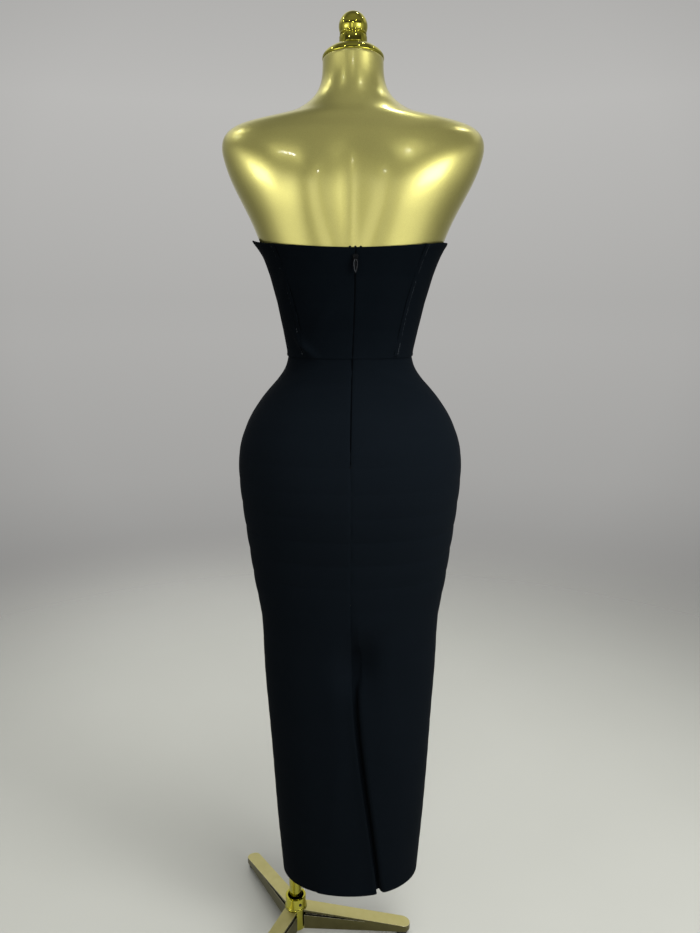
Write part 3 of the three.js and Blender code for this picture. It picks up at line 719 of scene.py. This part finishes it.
# %% A panel of cloth
CLOTH_THICK = 1.2 * MM
SEAM_DIP, SEAM_SOFT, VENT_SOFT, OPEN_NEAR = 0.6 * MM, 3.0 * MM, 9.0 * MM, 3.0 * MM
WAIST_LIFT, WAIST_SOFT = 0.9 * MM, 7.0 * MM
EDGE_ROUND = 0.6 * MM
MAP_RADIUS = 0.15


def lay_cloth_map(shape):
    """A UV map in metres, round the figure and up it."""
    layer = shape.loops.layers.uv.verify()
    for face in shape.faces:
        middle = angle_round(face.calc_center_median())
        for loop in face.loops:
            angle = angle_round(loop.vert.co)
            angle += 2 * math.pi * round((middle - angle) / (2 * math.pi))
            loop[layer].uv = (angle * MAP_RADIUS, loop.vert.co.z)


def border_tree(shape):
    border = [v.co.copy() for v in shape.verts if v.is_boundary]
    tree = KDTree(len(border))
    for i, place in enumerate(border):
        tree.insert(place, i)
    tree.balance()
    return tree


def is_vent_edge(place):
    return place.y > FAR_BACK and abs(place.x) < BESIDE_VENT and place.z < VENT_TOP


def is_open_edge(place):
    return place.z < HEM + OPEN_NEAR or place.z > top_of_dress(angle_round(place)) - OPEN_NEAR


def at_sides(place, least):
    """A share that is 1 at the sides of the figure and the least in the middle of its back."""
    return least + (1 - least) * math.cos(angle_round(place)) ** 2


def seam_height(place, edge, away, over_waist, vent_lift):
    """How far the strips and the nearest edge or seam move a point of the cloth outwards."""
    near = bell(away, SEAM_SOFT)
    relief = strip_height(place.z) + turned_height(place)
    if is_vent_edge(edge):
        return relief * (1 - near) + vent_lift * bell(away, VENT_SOFT) * vent_share(place)
    if is_waist_edge(edge) and over_waist:
        return relief * (1 - near) + WAIST_LIFT * at_sides(place, 0.05) * bell(away, WAIST_SOFT)
    if is_waist_edge(edge):
        return relief * (1 - near) - SEAM_DIP * at_sides(place, 0.1) * near
    if is_open_edge(edge):
        return relief * (1 - near * 0.5) + TURNED_THICK * 0.5 * near
    return relief * (1 - near) - SEAM_DIP * near


def settle_cloth(shape, over_waist, vent_lift, folds_in):
    shape.normal_update()
    tree = border_tree(shape)
    moves = []
    for point in shape.verts:
        edge, _, away = tree.find(point.co)
        height = crease_height(point.co) + seam_height(point.co, edge, away, over_waist, vent_lift)
        if folds_in:
            height += fold_height(point.co)
        moves.append(point.normal * height + tip_move(point.co))
    for point, move in zip(shape.verts, moves):
        point.co += move
    lay_cloth_map(shape)


def cloth_panel(node, levels=3, vent_lift=0.0):
    over_waist = node.startswith("bodice")
    cage = close_seams(outer_skin(node), over_waist)
    panel = make_piece(f"cloth_{node}", cage, knit, BODY, (node,))
    modifier(panel, "SUBSURF", levels=levels, render_levels=levels, boundary_smooth="PRESERVE_CORNERS")
    shape = settled(panel)
    settle_cloth(shape, over_waist, vent_lift, folds_in=node == "skirt_back_right")
    apply_shape(panel, shape)
    return panel


# %% [markdown]
# Now the dress itself. The front is one panel above the waist and one below, and the back has a
# centre back and a side back on each side of the zip. Each cloth piece says how large it was cut:
# the knit is cut small and stretched over the form, so the cut is narrower than what it covers.

# %% The panels of the dress
CUTS = {
    "bodice_front": (0.350, 0.195, 0.062),
    "bodice_side_back_left": (0.085, 0.185, 0.0125),
    "bodice_side_back_right": (0.085, 0.185, 0.0125),
    "bodice_back_left": (0.125, 0.180, 0.0190),
    "bodice_back_right": (0.125, 0.180, 0.0190),
    "skirt_front": (0.450, 1.010, 0.390),
    "skirt_back_left": (0.270, 1.010, 0.225),
    "skirt_back_right": (0.270, 1.010, 0.225),
}
VENT_LIFT = {"skirt_back_left": 1.6 * MM, "skirt_back_right": -0.6 * MM}

panels = {node: cloth_panel(node, vent_lift=VENT_LIFT.get(node, 0.0)) for node in CUTS}
whole_dress = bmesh.new()
for panel in panels.values():
    whole_dress.from_mesh(panel.data)
dress_skin = BVHTree.FromBMesh(whole_dress)
whole_dress.free()

for panel in panels.values():
    modifier(panel, "SOLIDIFY", thickness=CLOTH_THICK, offset=-1.0)
    modifier(panel, "BEVEL", width=EDGE_ROUND, segments=2, limit_method="ANGLE",
             angle_limit=math.radians(60), use_clamp_overlap=True)
    print(panel.name, len(panel.data.polygons), "faces in its sheet")


# %% [markdown]
# A seam runs where two cages end, so its line is read from their borders. A border is followed from
# corner to corner, and a corner is a point where it turns sharply.

# %% Lines along the borders
SHARP_TURN = math.radians(125)


def border_lines(shape):
    """The border of an open sheet as lines of points, which end at its corners."""

    def borders(point):
        return [e for e in point.link_edges if e.is_boundary]

    def is_corner(point):
        ways = [e.other_vert(point).co - point.co for e in borders(point)]
        return len(ways) != 2 or ways[0].angle(ways[1]) < SHARP_TURN

    used, lines = set(), []
    for start in [v for v in shape.verts if v.is_boundary and is_corner(v)]:
        for edge in borders(start):
            if edge in used:
                continue
            line, point = [start.co.copy()], start
            while edge:
                used.add(edge)
                point = edge.other_vert(point)
                line.append(point.co.copy())
                edge = None if is_corner(point) else next(e for e in borders(point) if e not in used)
            lines.append(line)
    return lines


def is_upright(line):
    span = line[-1] - line[0]
    return abs(span.z) > span.xy.length


def along(line, share):
    """The point at a share of the length of a line."""
    lengths = [(b - a).length for a, b in zip(line, line[1:])]
    left = share * sum(lengths)
    for a, b, length in zip(line, line[1:], lengths):
        if left <= length:
            return a.lerp(b, left / length)
        left -= length
    return line[-1].copy()


print("borders of the front:", [len(line) for line in border_lines(outer_skin("bodice_front"))])

# %% [markdown]
# Behind each seam lie its allowances, the strips of cloth that the stitches hold together. They
# also stop the gold of the form from showing through. Turning the panels' own edges in would crowd
# the narrow seam with faces, so each allowance is a grid of its own, laid along the line of the
# seam, whose points are set just under the cloth.

# %% Seam allowances
ALLOWANCE_WIDE, ALLOWANCE_THICK = 13 * MM, 0.25 * MM
ALLOWANCE_DEEP = CLOTH_THICK + SEAM_DIP + 0.1 * MM
ALLOWANCE_STEP, BELOW_TOP, LOOK_AHEAD = 6 * MM, 1.2 * MM, 0.02


def allowance(name, line, deep=ALLOWANCE_DEEP):
    steps = max(4, round(sum((b - a).length for a, b in zip(line, line[1:])) / ALLOWANCE_STEP))
    shape = bmesh.new()
    bmesh.ops.create_grid(shape, x_segments=4, y_segments=steps, size=1.0)
    for point in shape.verts:
        across, share = point.co.x / 2, (point.co.y + 1) / 2
        place = along(line, share)
        place.z = min(place.z, top_of_dress(angle_round(place)) - BELOW_TOP)
        ahead, behind = along(line, min(1, share + LOOK_AHEAD)), along(line, max(0, share - LOOK_AHEAD))
        direction = (ahead - behind).normalized()
        outward = Vector((place.x, place.y, 0)).normalized()
        place += direction.cross(outward).normalized() * across * ALLOWANCE_WIDE + outward * 2 * MM
        on_cloth, normal, _, _ = dress_skin.find_nearest(place)
        point.co = on_cloth - normal * deep
    bmesh.ops.recalc_face_normals(shape, faces=shape.faces)
    lay_cloth_map(shape)
    strip = make_piece(name, shape, knit)
    modifier(strip, "SOLIDIFY", thickness=ALLOWANCE_THICK, offset=0.0)
    return strip


allowances = {node: [] for node in CUTS}
for node in ("bodice_front", "skirt_front", "bodice_back_left", "bodice_back_right", "skirt_back_left"):
    for line in border_lines(outer_skin(node)):
        above_vent = [place for place in line if not (is_vent_edge(place) or place.z < HEM + 5 * MM)]
        if is_upright(line) and len(above_vent) > 4:
            name = f"allowance_{node}_{len(allowances[node]) + 1}"
            allowances[node].append(allowance(name, above_vent))
for node in ("skirt_front", "skirt_back_left", "skirt_back_right"):
    for line in border_lines(outer_skin(node)):
        if all(is_waist_edge(place) for place in line):
            name = f"allowance_waist_{node}"
            allowances[node].append(allowance(name, line, ALLOWANCE_DEEP + 0.05 * MM))

print("allowances:", {node: len(strips) for node, strips in allowances.items()})

# %% [markdown]
# Over each back princess seam lies a casing with a bone inside. It is a narrow strip of the same
# knit, stitched down along both edges, and the stitching puckers it a little: its points follow a
# slow wave along it, and its edges are drawn down.

# %% Bone casings
CASING_THICK = 0.8 * MM
CASING_PROUD = 0.10 * MM
PUCKER_STEP, PUCKER = 8.0 * MM, 0.22 * MM
EDGE_DRAWN, EDGE_SOFT = 0.45 * MM, 0.9 * MM


def casing(side):
    node = f"bone_casing_{side}"
    strip = make_piece(f"cloth_{node}", outer_skin(node), knit, BODY, (node,))
    modifier(strip, "SUBSURF", levels=3, render_levels=3, boundary_smooth="PRESERVE_CORNERS")
    shape = settled(strip)
    shape.normal_update()
    tree = border_tree(shape)
    for point in shape.verts:
        away = tree.find(point.co)[2]
        pucker = PUCKER * math.sin(2 * math.pi * point.co.z / PUCKER_STEP)
        point.co += point.normal * (pucker + CASING_PROUD - EDGE_DRAWN * bell(away, EDGE_SOFT))
    lay_cloth_map(shape)
    apply_shape(strip, shape)
    modifier(strip, "SOLIDIFY", thickness=CASING_THICK, offset=-1.0)
    return strip


casings = {side: casing(side) for side in ("left", "right")}
print("casings:", [strip.name for strip in casings.values()])

# %% [markdown]
# The stitches along the casings are what the light picks out. A bump map would be flat from the
# side, so they are real little shapes: one short capsule, repeated along a line on the surface of
# the strip and turned to follow it.

# %% Rows of stitches
STITCH_STEP, STITCH_LONG, STITCH_THICK = 4.0 * MM, 2.9 * MM, 0.36 * MM
STITCH_INSET = 1.0 * MM


def walk(line, step):
    """Places and directions at even steps along a line."""
    places, carried = [], 0.0
    for start, end in zip(line, line[1:]):
        length, direction = (end - start).length, (end - start).normalized()
        at = step - carried
        while at < length:
            places.append((start + direction * at, direction))
            at += step
        carried = (carried + length) % step
    return places


def stitch_row(shape, line, skin):
    """Adds one capsule for each stitch along a line, lying on the skin."""
    for place, direction in walk(line, STITCH_STEP):
        on_skin, normal, _, _ = skin.find_nearest(place)
        side = normal.cross(direction).normalized()
        turned = Matrix((side, normal, direction)).transposed().to_4x4()
        scale = Matrix.Diagonal((STITCH_THICK, STITCH_THICK * 0.8, STITCH_LONG / 2, 1))
        matrix = Matrix.Translation(on_skin + normal * STITCH_THICK * 0.3) @ turned @ scale
        bmesh.ops.create_uvsphere(shape, u_segments=8, v_segments=6, radius=1.0, matrix=matrix)


for side, strip in casings.items():
    shape = bmesh.new()
    skin = skin_of(strip)
    edges = sorted((line for line in border_lines(outer_skin(f"bone_casing_{side}")) if is_upright(line)),
                   key=lambda line: along(line, 0.5).x)
    inwards = (along(edges[-1], 0.5) - along(edges[0], 0.5)).normalized() * STITCH_INSET
    for line, sense in ((edges[0], 1), (edges[-1], -1)):
        stitch_row(shape, [place + inwards * sense for place in line], skin)
    stitches = make_piece(f"stitches_casing_{side}", shape, thread)
    print(stitches.name, len(stitches.data.polygons), "faces")

# %% [markdown]
# The zip is hidden in the seam: two rows of coil behind two edges that nearly touch. A real coil is
# a wound wire, of which only dark dots show between the edges. So the strip that stands for it in
# the solids is replaced by a thin tape with one small bead at every turn of the coil.

# %% Zip coil
COIL_STEP, COIL_SIZE, COIL_PROUD = 1.7 * MM, 0.75 * MM, Vector((0, 0.1 * MM, 0))
TAPE_THICK, LINE_STEPS = 0.6 * MM, 60
coil = outer_skin("zip_tape")
rising = [line if line[0].z < line[-1].z else line[::-1] for line in border_lines(coil)]
coil_edges = [line for line in rising if is_upright(line)]
shares = [i / LINE_STEPS for i in range(LINE_STEPS + 1)]
zip_line = [along(coil_edges[0], share).lerp(along(coil_edges[-1], share), 0.5) for share in shares]
bmesh.ops.solidify(coil, geom=coil.faces, thickness=TAPE_THICK)
squash = Matrix.Diagonal((COIL_SIZE * 1.2, COIL_SIZE * 0.6, COIL_SIZE * 0.75, 1))
for place, _ in walk(zip_line, COIL_STEP):
    bmesh.ops.create_uvsphere(coil, u_segments=8, v_segments=6, radius=1.0,
                              matrix=Matrix.Translation(place + COIL_PROUD) @ squash)
make_piece("zip_coil", coil, coil_finish, BODY, ("zip_tape",))
print("zip:", round(zip_line[0].z, 4), "to", round(zip_line[-1].z, 4))

# %% [markdown]
# A bar tack closes the lower end of the zip, a few rows of thread sewn on top of each other, and at
# the top the ends of the tapes are turned in and stand up as small lumps. Both are squashed balls
# set on the cloth. A ray from behind finds the cloth, and it is cast beside the gap of the zip,
# because in the gap it would go on to the front of the dress.

# %% Bar tack and tape ends
TACK_ROWS, TACK_STEP, TACK_Z = 3, 0.7 * MM, 985 * MM
TACK_WIDE, TACK_DEEP, TACK_TALL = 4.4 * MM, 0.7 * MM, 0.9 * MM
FAR_BEHIND, BESIDE_GAP = 0.2, 1.6 * MM


def bead(shape, place, wide, deep, tall):
    size = Matrix.Diagonal((wide / 2, deep / 2, tall / 2, 1))
    bmesh.ops.create_uvsphere(shape, u_segments=14, v_segments=10, radius=1.0,
                              matrix=Matrix.Translation(place) @ size)


def on_back(x, z):
    """A place on the back of the cloth and its normal, looked up beside the gap of the zip."""
    start = Vector((x + BESIDE_GAP, FAR_BEHIND, z))
    on_cloth, outward, _, _ = dress_skin.ray_cast(start, Vector((0, -1, 0)))
    return Vector((x, on_cloth.y, z)), outward


tack = bmesh.new()
for row in range(TACK_ROWS):
    on_cloth, outward = on_back(zip_line[0].x, TACK_Z + row * TACK_STEP)
    bead(tack, on_cloth + outward * 0.2 * MM, TACK_WIDE, TACK_DEEP, TACK_TALL)
make_piece("zip_bar_tack", tack, lacquer)

TAPE_END_PLACES = (-7.8 * MM, 0.4 * MM, 8.6 * MM)
TAPE_END_SIZE, TAPE_END_IN = (3.6 * MM, 2.4 * MM, 3.4 * MM), 0.8 * MM
tape_top = top_of_dress(math.pi / 2) + 0.3 * MM
tape_ends = bmesh.new()
for across in TAPE_END_PLACES:
    on_cloth, _ = on_back(zip_line[-1].x + across, tape_top - 2 * MM)
    bead(tape_ends, Vector((on_cloth.x, on_cloth.y - TAPE_END_IN, tape_top)), *TAPE_END_SIZE)
make_piece("zip_tape_ends", tape_ends, knit)
print("tape ends at", round(tape_top, 4))


# %% [markdown]
# Hard parts keep the shape of their solids. What a solid lacks is the small round on every edge,
# which catches a line of light. Subdividing would make them soft all over. So the copy is welded,
# its flat triangles are dissolved into whole faces, and a bevel runs along the edges that remain.

# %% Hard parts with rounded edges
FLAT_WITHIN, EDGE_FROM, SMOOTH_BELOW = math.radians(1.0), math.radians(32), 35.0


def rounded_part(name, node, finish, width, body=BODY, segments=3):
    shape = cage_of(node, pair=False)
    bmesh.ops.dissolve_limit(shape, angle_limit=FLAT_WITHIN, verts=shape.verts, edges=shape.edges)
    part = make_piece(name, shape, finish, body, (node,), SMOOTH_BELOW)
    modifier(part, "BEVEL", width=width, segments=segments, limit_method="ANGLE",
             angle_limit=EDGE_FROM, use_clamp_overlap=True)
    print(name, len(part.data.polygons), "faces before its edges are rounded")
    return part


rounded_part("zip_slider_body", "zip_slider", lacquer, 0.25 * MM)
rounded_part("stand_set_screw", "set_screw", steel, 0.3 * MM)

# %% [markdown]
# The pull tab is a cast leaf with a raised rim on both of its faces. Each face is inset twice: the
# first ring stays level and is the rim, and the second goes down into the tab and is its inner
# wall, which gets a painted highlight in grey. The tab rides on its own body, because it swings on the
# slider.

# %% Pull tab with a raised rim
RIM_WIDE, RIM_DEEP = 1.1 * MM, 0.45 * MM
FACING, HIGHLIGHT_SLOT = 0.95, 1
tab = rounded_part("zip_pull_tab", "zip_pull", lacquer, 0.2 * MM, PULL)
tab_shape = bmesh.new()
tab_shape.from_mesh(tab.data)
tab_shape.normal_update()
# painted highlight: the inner wall of each rim gets the lighter grey lacquer
tab.data.materials.append(rim_highlight.material)
for sense in (1, -1):
    face = max((f for f in tab_shape.faces if f.normal.y * sense > FACING), key=lambda f: f.calc_area())
    bmesh.ops.inset_region(tab_shape, faces=[face], thickness=RIM_WIDE, use_even_offset=True)
    rim = bmesh.ops.inset_region(tab_shape, faces=[face], thickness=RIM_WIDE / 2, depth=-RIM_DEEP,
                                 use_even_offset=True)
    for wall in rim["faces"]:
        wall.material_index = HIGHLIGHT_SLOT
tab_shape.to_mesh(tab.data)
tab_shape.free()

# %% [markdown]
# Each leg is a tapered casting with a long groove in both of its walls. The groove is there in the
# solid, and it gets a dark material of its own, as painted shade: its faces are the large ones that lie a
# little in from the wall, seen across the leg. The bevel paints the rounded edges with a bright gold, as a
# painted highlight.

# %% Legs, with painted shade in their grooves
GROOVE_FROM, GROOVE_TO, GROOVE_LEAST = 8 * MM, 13.3 * MM, 100 * MM * MM
GROOVE_SLOT, EDGE_SLOT = 1, 2
LEG_ANGLES = {"right": 180, "left_front": -60, "left_back": 60}
for side, angle in LEG_ANGLES.items():
    leg = rounded_part(f"stand_leg_{side}", f"leg_{side}", satin, 1.6 * MM, segments=4)
    # painted shade for the grooves, and a painted highlight along the rounded edges
    leg.data.materials.append(groove_shade.material)
    leg.data.materials.append(edge_highlight_gold.material)
    leg.modifiers[0].material = EDGE_SLOT
    across = Vector((-math.sin(math.radians(angle)), math.cos(math.radians(angle)), 0))
    for polygon in leg.data.polygons:
        aside = abs((polygon.center - Vector((POLE_X, 0, 0))).dot(across))
        if GROOVE_FROM < aside < GROOVE_TO and polygon.area > GROOVE_LEAST:
            polygon.material_index = GROOVE_SLOT
    print(leg.name, sum(p.material_index for p in leg.data.polygons), "groove faces")

# %% [markdown]
# The cap, the finial, the pole, the hub and the foot pads are turned parts, and the facets of the
# solids would show in a mirror. So each is made anew: a profile of a few corners in millimetres,
# rounded by a bevel on its points and spun round the axis in many steps. The cap and the finial
# stand on the slanted end of the neck, and the others on the place of their solid.

# %% Turned parts
def turned_part(name, node, profile, finish, corner=0.5 * MM, steps=72, stands_on=None):
    """A profile of (radius, height), spun and set on the node's place, which is a matrix."""
    if stands_on is None:
        low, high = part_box(node)
        stands_on = Matrix.Translation(((low.x + high.x) / 2, (low.y + high.y) / 2, low.z))
    shape = bmesh.new()
    points = [shape.verts.new((radius, 0, height)) for radius, height in profile]
    for first, second in zip(points, points[1:]):
        shape.edges.new((first, second))
    bmesh.ops.bevel(shape, geom=[v for v in points[1:-1] if v.co.x > corner], offset=corner,
                    offset_type="OFFSET", segments=3, profile=0.5, affect="VERTICES",
                    clamp_overlap=True, material=-1)
    bmesh.ops.spin(shape, geom=shape.verts[:] + shape.edges[:], cent=(0, 0, 0), axis=(0, 0, 1),
                   angle=2 * math.pi, steps=steps, use_merge=True, use_duplicate=False)
    bmesh.ops.remove_doubles(shape, verts=shape.verts, dist=WELD)
    bmesh.ops.recalc_face_normals(shape, faces=shape.faces)
    bmesh.ops.transform(shape, matrix=stands_on, verts=shape.verts)
    return make_piece(name, shape, finish, BODY, (node,), SMOOTH_BELOW)


def in_mm(*profile):
    return [(radius * MM, height * MM) for radius, height in profile]


GAP, CAP_TALL = 0.3, 21.5
on_neck = neck_axis @ Matrix.Translation((0, 0, GAP * MM))
on_cap = neck_axis @ Matrix.Translation((0, 0, (2 * GAP + CAP_TALL) * MM))

CAP_CURVE = ((49, 4.5), (46.6, 8.6), (42, 12.8), (35.5, 16.8), (28.5, 19.8), (22.8, CAP_TALL))
turned_part("neck_cap_plate", "neck_cap", in_mm((0, 0), (48.2, 0), (49, 1), *CAP_CURVE, (0, CAP_TALL)),
            mirror, 0.7 * MM, 96, on_neck)

BALL_RADIUS, BALL_MIDDLE, BALL_FROM, BALL_STEPS = 22.9, 29.2, 20.0, 24
ball_start = math.asin((BALL_FROM - BALL_MIDDLE) / BALL_RADIUS)
ball_turns = [ball_start + (math.pi / 2 - ball_start) * i / BALL_STEPS for i in range(BALL_STEPS)]
ball = [(BALL_RADIUS * math.cos(turn), BALL_MIDDLE + BALL_RADIUS * math.sin(turn)) for turn in ball_turns]
turned_part("finial_knob", "finial", in_mm(
    (0, 0), (21.3, 0), (22.3, 1), (22.3, 13), (21.3, 14), (19.4, 14.6), (19.4, 16.4), (21.3, 17),
    (21.3, 18.8), (20.6, 19.4), *ball, (0, BALL_MIDDLE + BALL_RADIUS),
), mirror, 0.35 * MM, 72, on_cap)

pole_low, pole_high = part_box("pole")
POLE_TALL = (pole_high.z - pole_low.z) / MM
turned_part("stand_pole", "pole", in_mm(
    (0, 0), (12.5, 0), (12.5, POLE_TALL), (0, POLE_TALL),
), mirror)

turned_part("stand_hub", "hub", in_mm(
    (0, 0), (20, 0), (20, 44), (21.6, 44.8), (21.6, 47), (20, 48), (20, 69), (15.5, 69),
    (15.5, 11.7), (0, 11.7),
), mirror, 0.6 * MM)

for side in LEG_ANGLES:
    turned_part(f"stand_foot_{side}", f"foot_{side}", in_mm(
        (0, 0), (10.2, 0), (11, 1), (11, 8.6), (10.2, 9.7), (0, 9.7),
    ), rubber, 0.3 * MM, 48)
print("pole:", round(POLE_TALL, 1), "mm tall")

# %% [markdown]
# The floor is a pale, slightly mottled sheet that only has to catch the shadow of the stand. A hard
# horizon would draw the eye, so it fades out with its distance from the middle.

# %% Floor
FLOOR_REACH, FADE_FROM, FADE_TO = 9.0, 0.7, 3.2
floor_shape = bmesh.new()
bmesh.ops.create_grid(floor_shape, x_segments=2, y_segments=2, size=FLOOR_REACH)
floor_mesh = bpy.data.meshes.new("floor")
floor_shape.to_mesh(floor_mesh)
floor_shape.free()
floor = bpy.data.objects.new("floor", floor_mesh)
bpy.context.collection.objects.link(floor)
pale = Finish("pale_floor", Specular_IOR_Level=0.3)
floor_place = pale.place()
mottled = pale.noise(floor_place, 1.4, 3.0)
far_out = pale.add("ShaderNodeVectorMath", {"operation": "LENGTH"}, {0: floor_place}, "Value")
pale.set(
    Base_Color=pale.mix(mottled, shade(0.43, 0.435, 0.395), shade(0.48, 0.485, 0.445)),
    Roughness=mottled * 0.1 + 0.45,
    Alpha=1 - pale.fade(far_out, FADE_FROM, FADE_TO),
)
floor_mesh.materials.append(pale.material)

# %% [markdown]
# Metallic paint and mirrors show only what they reflect, so the surround decides how they look. It
# isn't a picture of a room: its brightness is a product of ramps over the direction of looking, by
# height, from front to back, and across. Behind the camera, low down, bright windows alternate
# with dark bars, which show as streaks on the form's back. Above them a dark band keeps the neck
# deep, and a lighter patch high over the front is there for the tops of the shoulders.

# %% Surround
world = bpy.data.worlds.new("surround")
bpy.context.scene.world = world
bpy.context.scene.view_settings.view_transform = "Standard"
world.use_nodes = True
surround = Graph(world.node_tree)
looking = surround.place("Generated")
sideways, backwards, upwards = (surround.axis(looking, letter) for letter in "XYZ")
by_height = surround.tone(upwards * 0.5 + 0.5, (0.0, 0.50), (0.30, 0.62), (0.39, 0.88), (0.475, 1.0),
                          (0.61, 1.0), (0.67, 0.76), (0.73, 0.50), (0.80, 0.41), (0.92, 0.38), (1.0, 0.58))
by_side = surround.tone(backwards * 0.5 + 0.5, (0.0, 0.43), (0.04, 0.415), (0.14, 0.24), (0.36, 0.20),
                        (0.52, 0.38), (0.74, 0.80), (1.0, 0.90))
by_width = surround.tone(sideways * 0.5 + 0.5, (0.0, 0.50), (0.10, 0.78), (0.29, 0.80), (0.325, 0.36),
                         (0.43, 0.42), (0.46, 0.20), (0.49, 0.20), (0.53, 0.76), (0.61, 0.76),
                         (0.655, 0.18), (0.74, 0.18), (0.80, 0.80), (0.96, 0.76), (1.0, 0.50))
dark_band = surround.tone(upwards, (0.0, 0.0), (0.20, 0.0), (0.27, 0.50), (0.33, 0.90), (0.46, 0.84),
                          (0.60, 0.24), (0.84, 0.13), (1.0, 0.13))
over_front = surround.tone(upwards, (0.0, 0.0), (0.35, 0.12), (0.50, 0.60), (0.70, 0.60), (0.84, 0.12),
                           (1.0, 0.0))
behind_camera = surround.fade(backwards, 0.1, 0.4)
low_down = 1 - surround.fade(upwards, 0.20, 0.40)
in_front = 1 - surround.fade(backwards, -0.35, 0.0)
windows = (by_width * 2 - 1) * behind_camera * low_down + 1
level = by_height * by_side * windows * (1 - dark_band * behind_camera) + over_front * in_front
warm = surround.add("ShaderNodeCombineColor", inputs={0: level, 1: level * 0.99, 2: level * 0.965})
surround.feed(surround.tree.nodes["Background"].inputs["Color"], warm)
print("surround:", len(surround.tree.nodes), "nodes")


# %% [markdown]
# Two window lamps give the bright patches on the shoulder blades, and a few small downlights the
# points of light. The cloth is so dark that it needs more light than that, and larger lamps would
# show as pale sheets in the gold. So the three large ones light what is rough and are kept out of
# every reflection.

# %% Lamps
def lamp(name, place, target, wide, tall, power, shape="RECTANGLE", mirrored=True):
    data = bpy.data.lights.new(name, "AREA")
    data.shape, data.size, data.size_y, data.energy = shape, wide, tall, power
    made = bpy.data.objects.new(name, data)
    made.location = place
    made.rotation_euler = (Vector(target) - Vector(place)).to_track_quat("-Z", "Y").to_euler()
    made.visible_camera, made.visible_glossy = False, mirrored
    bpy.context.collection.objects.link(made)


CHEST = Vector((0, 0, 1.4))
lamp("window_left", (2.3, 1.45, 1.58), CHEST, 1.05, 0.62, 8)
lamp("window_right", (-2.05, 1.9, 1.80), CHEST, 1.10, 0.80, 14)
lamp("fill_right", (-2.4, 1.5, 1.5), (0, 0, 0.8), 1.0, 2.0, 60, mirrored=False)
lamp("fill_front", (0.9, -2.3, 1.7), (0, 0, 0.9), 1.2, 1.6, 36, mirrored=False)
lamp("overhead", (-0.7, 1.0, 3.3), (0, 0, 1.0), 1.6, 1.4, 58, mirrored=False)

CEILING, DOWNLIGHT_SIZE, DOWNLIGHT_POWER = 2.7, 0.09, 1.1
DOWNLIGHTS = ((0.08, 3.4), (1.1, 1.73), (-0.68, 1.55), (1.15, -0.33), (-0.98, -0.36), (-0.3, -0.39),
              (1.68, -0.04))
for i, (x, y) in enumerate(DOWNLIGHTS):
    place = (x, y, CEILING)
    lamp(f"downlight_{i + 1}", place, CHEST, DOWNLIGHT_SIZE, DOWNLIGHT_SIZE, DOWNLIGHT_POWER, "DISK")
print("lamps:", len(bpy.data.lights))
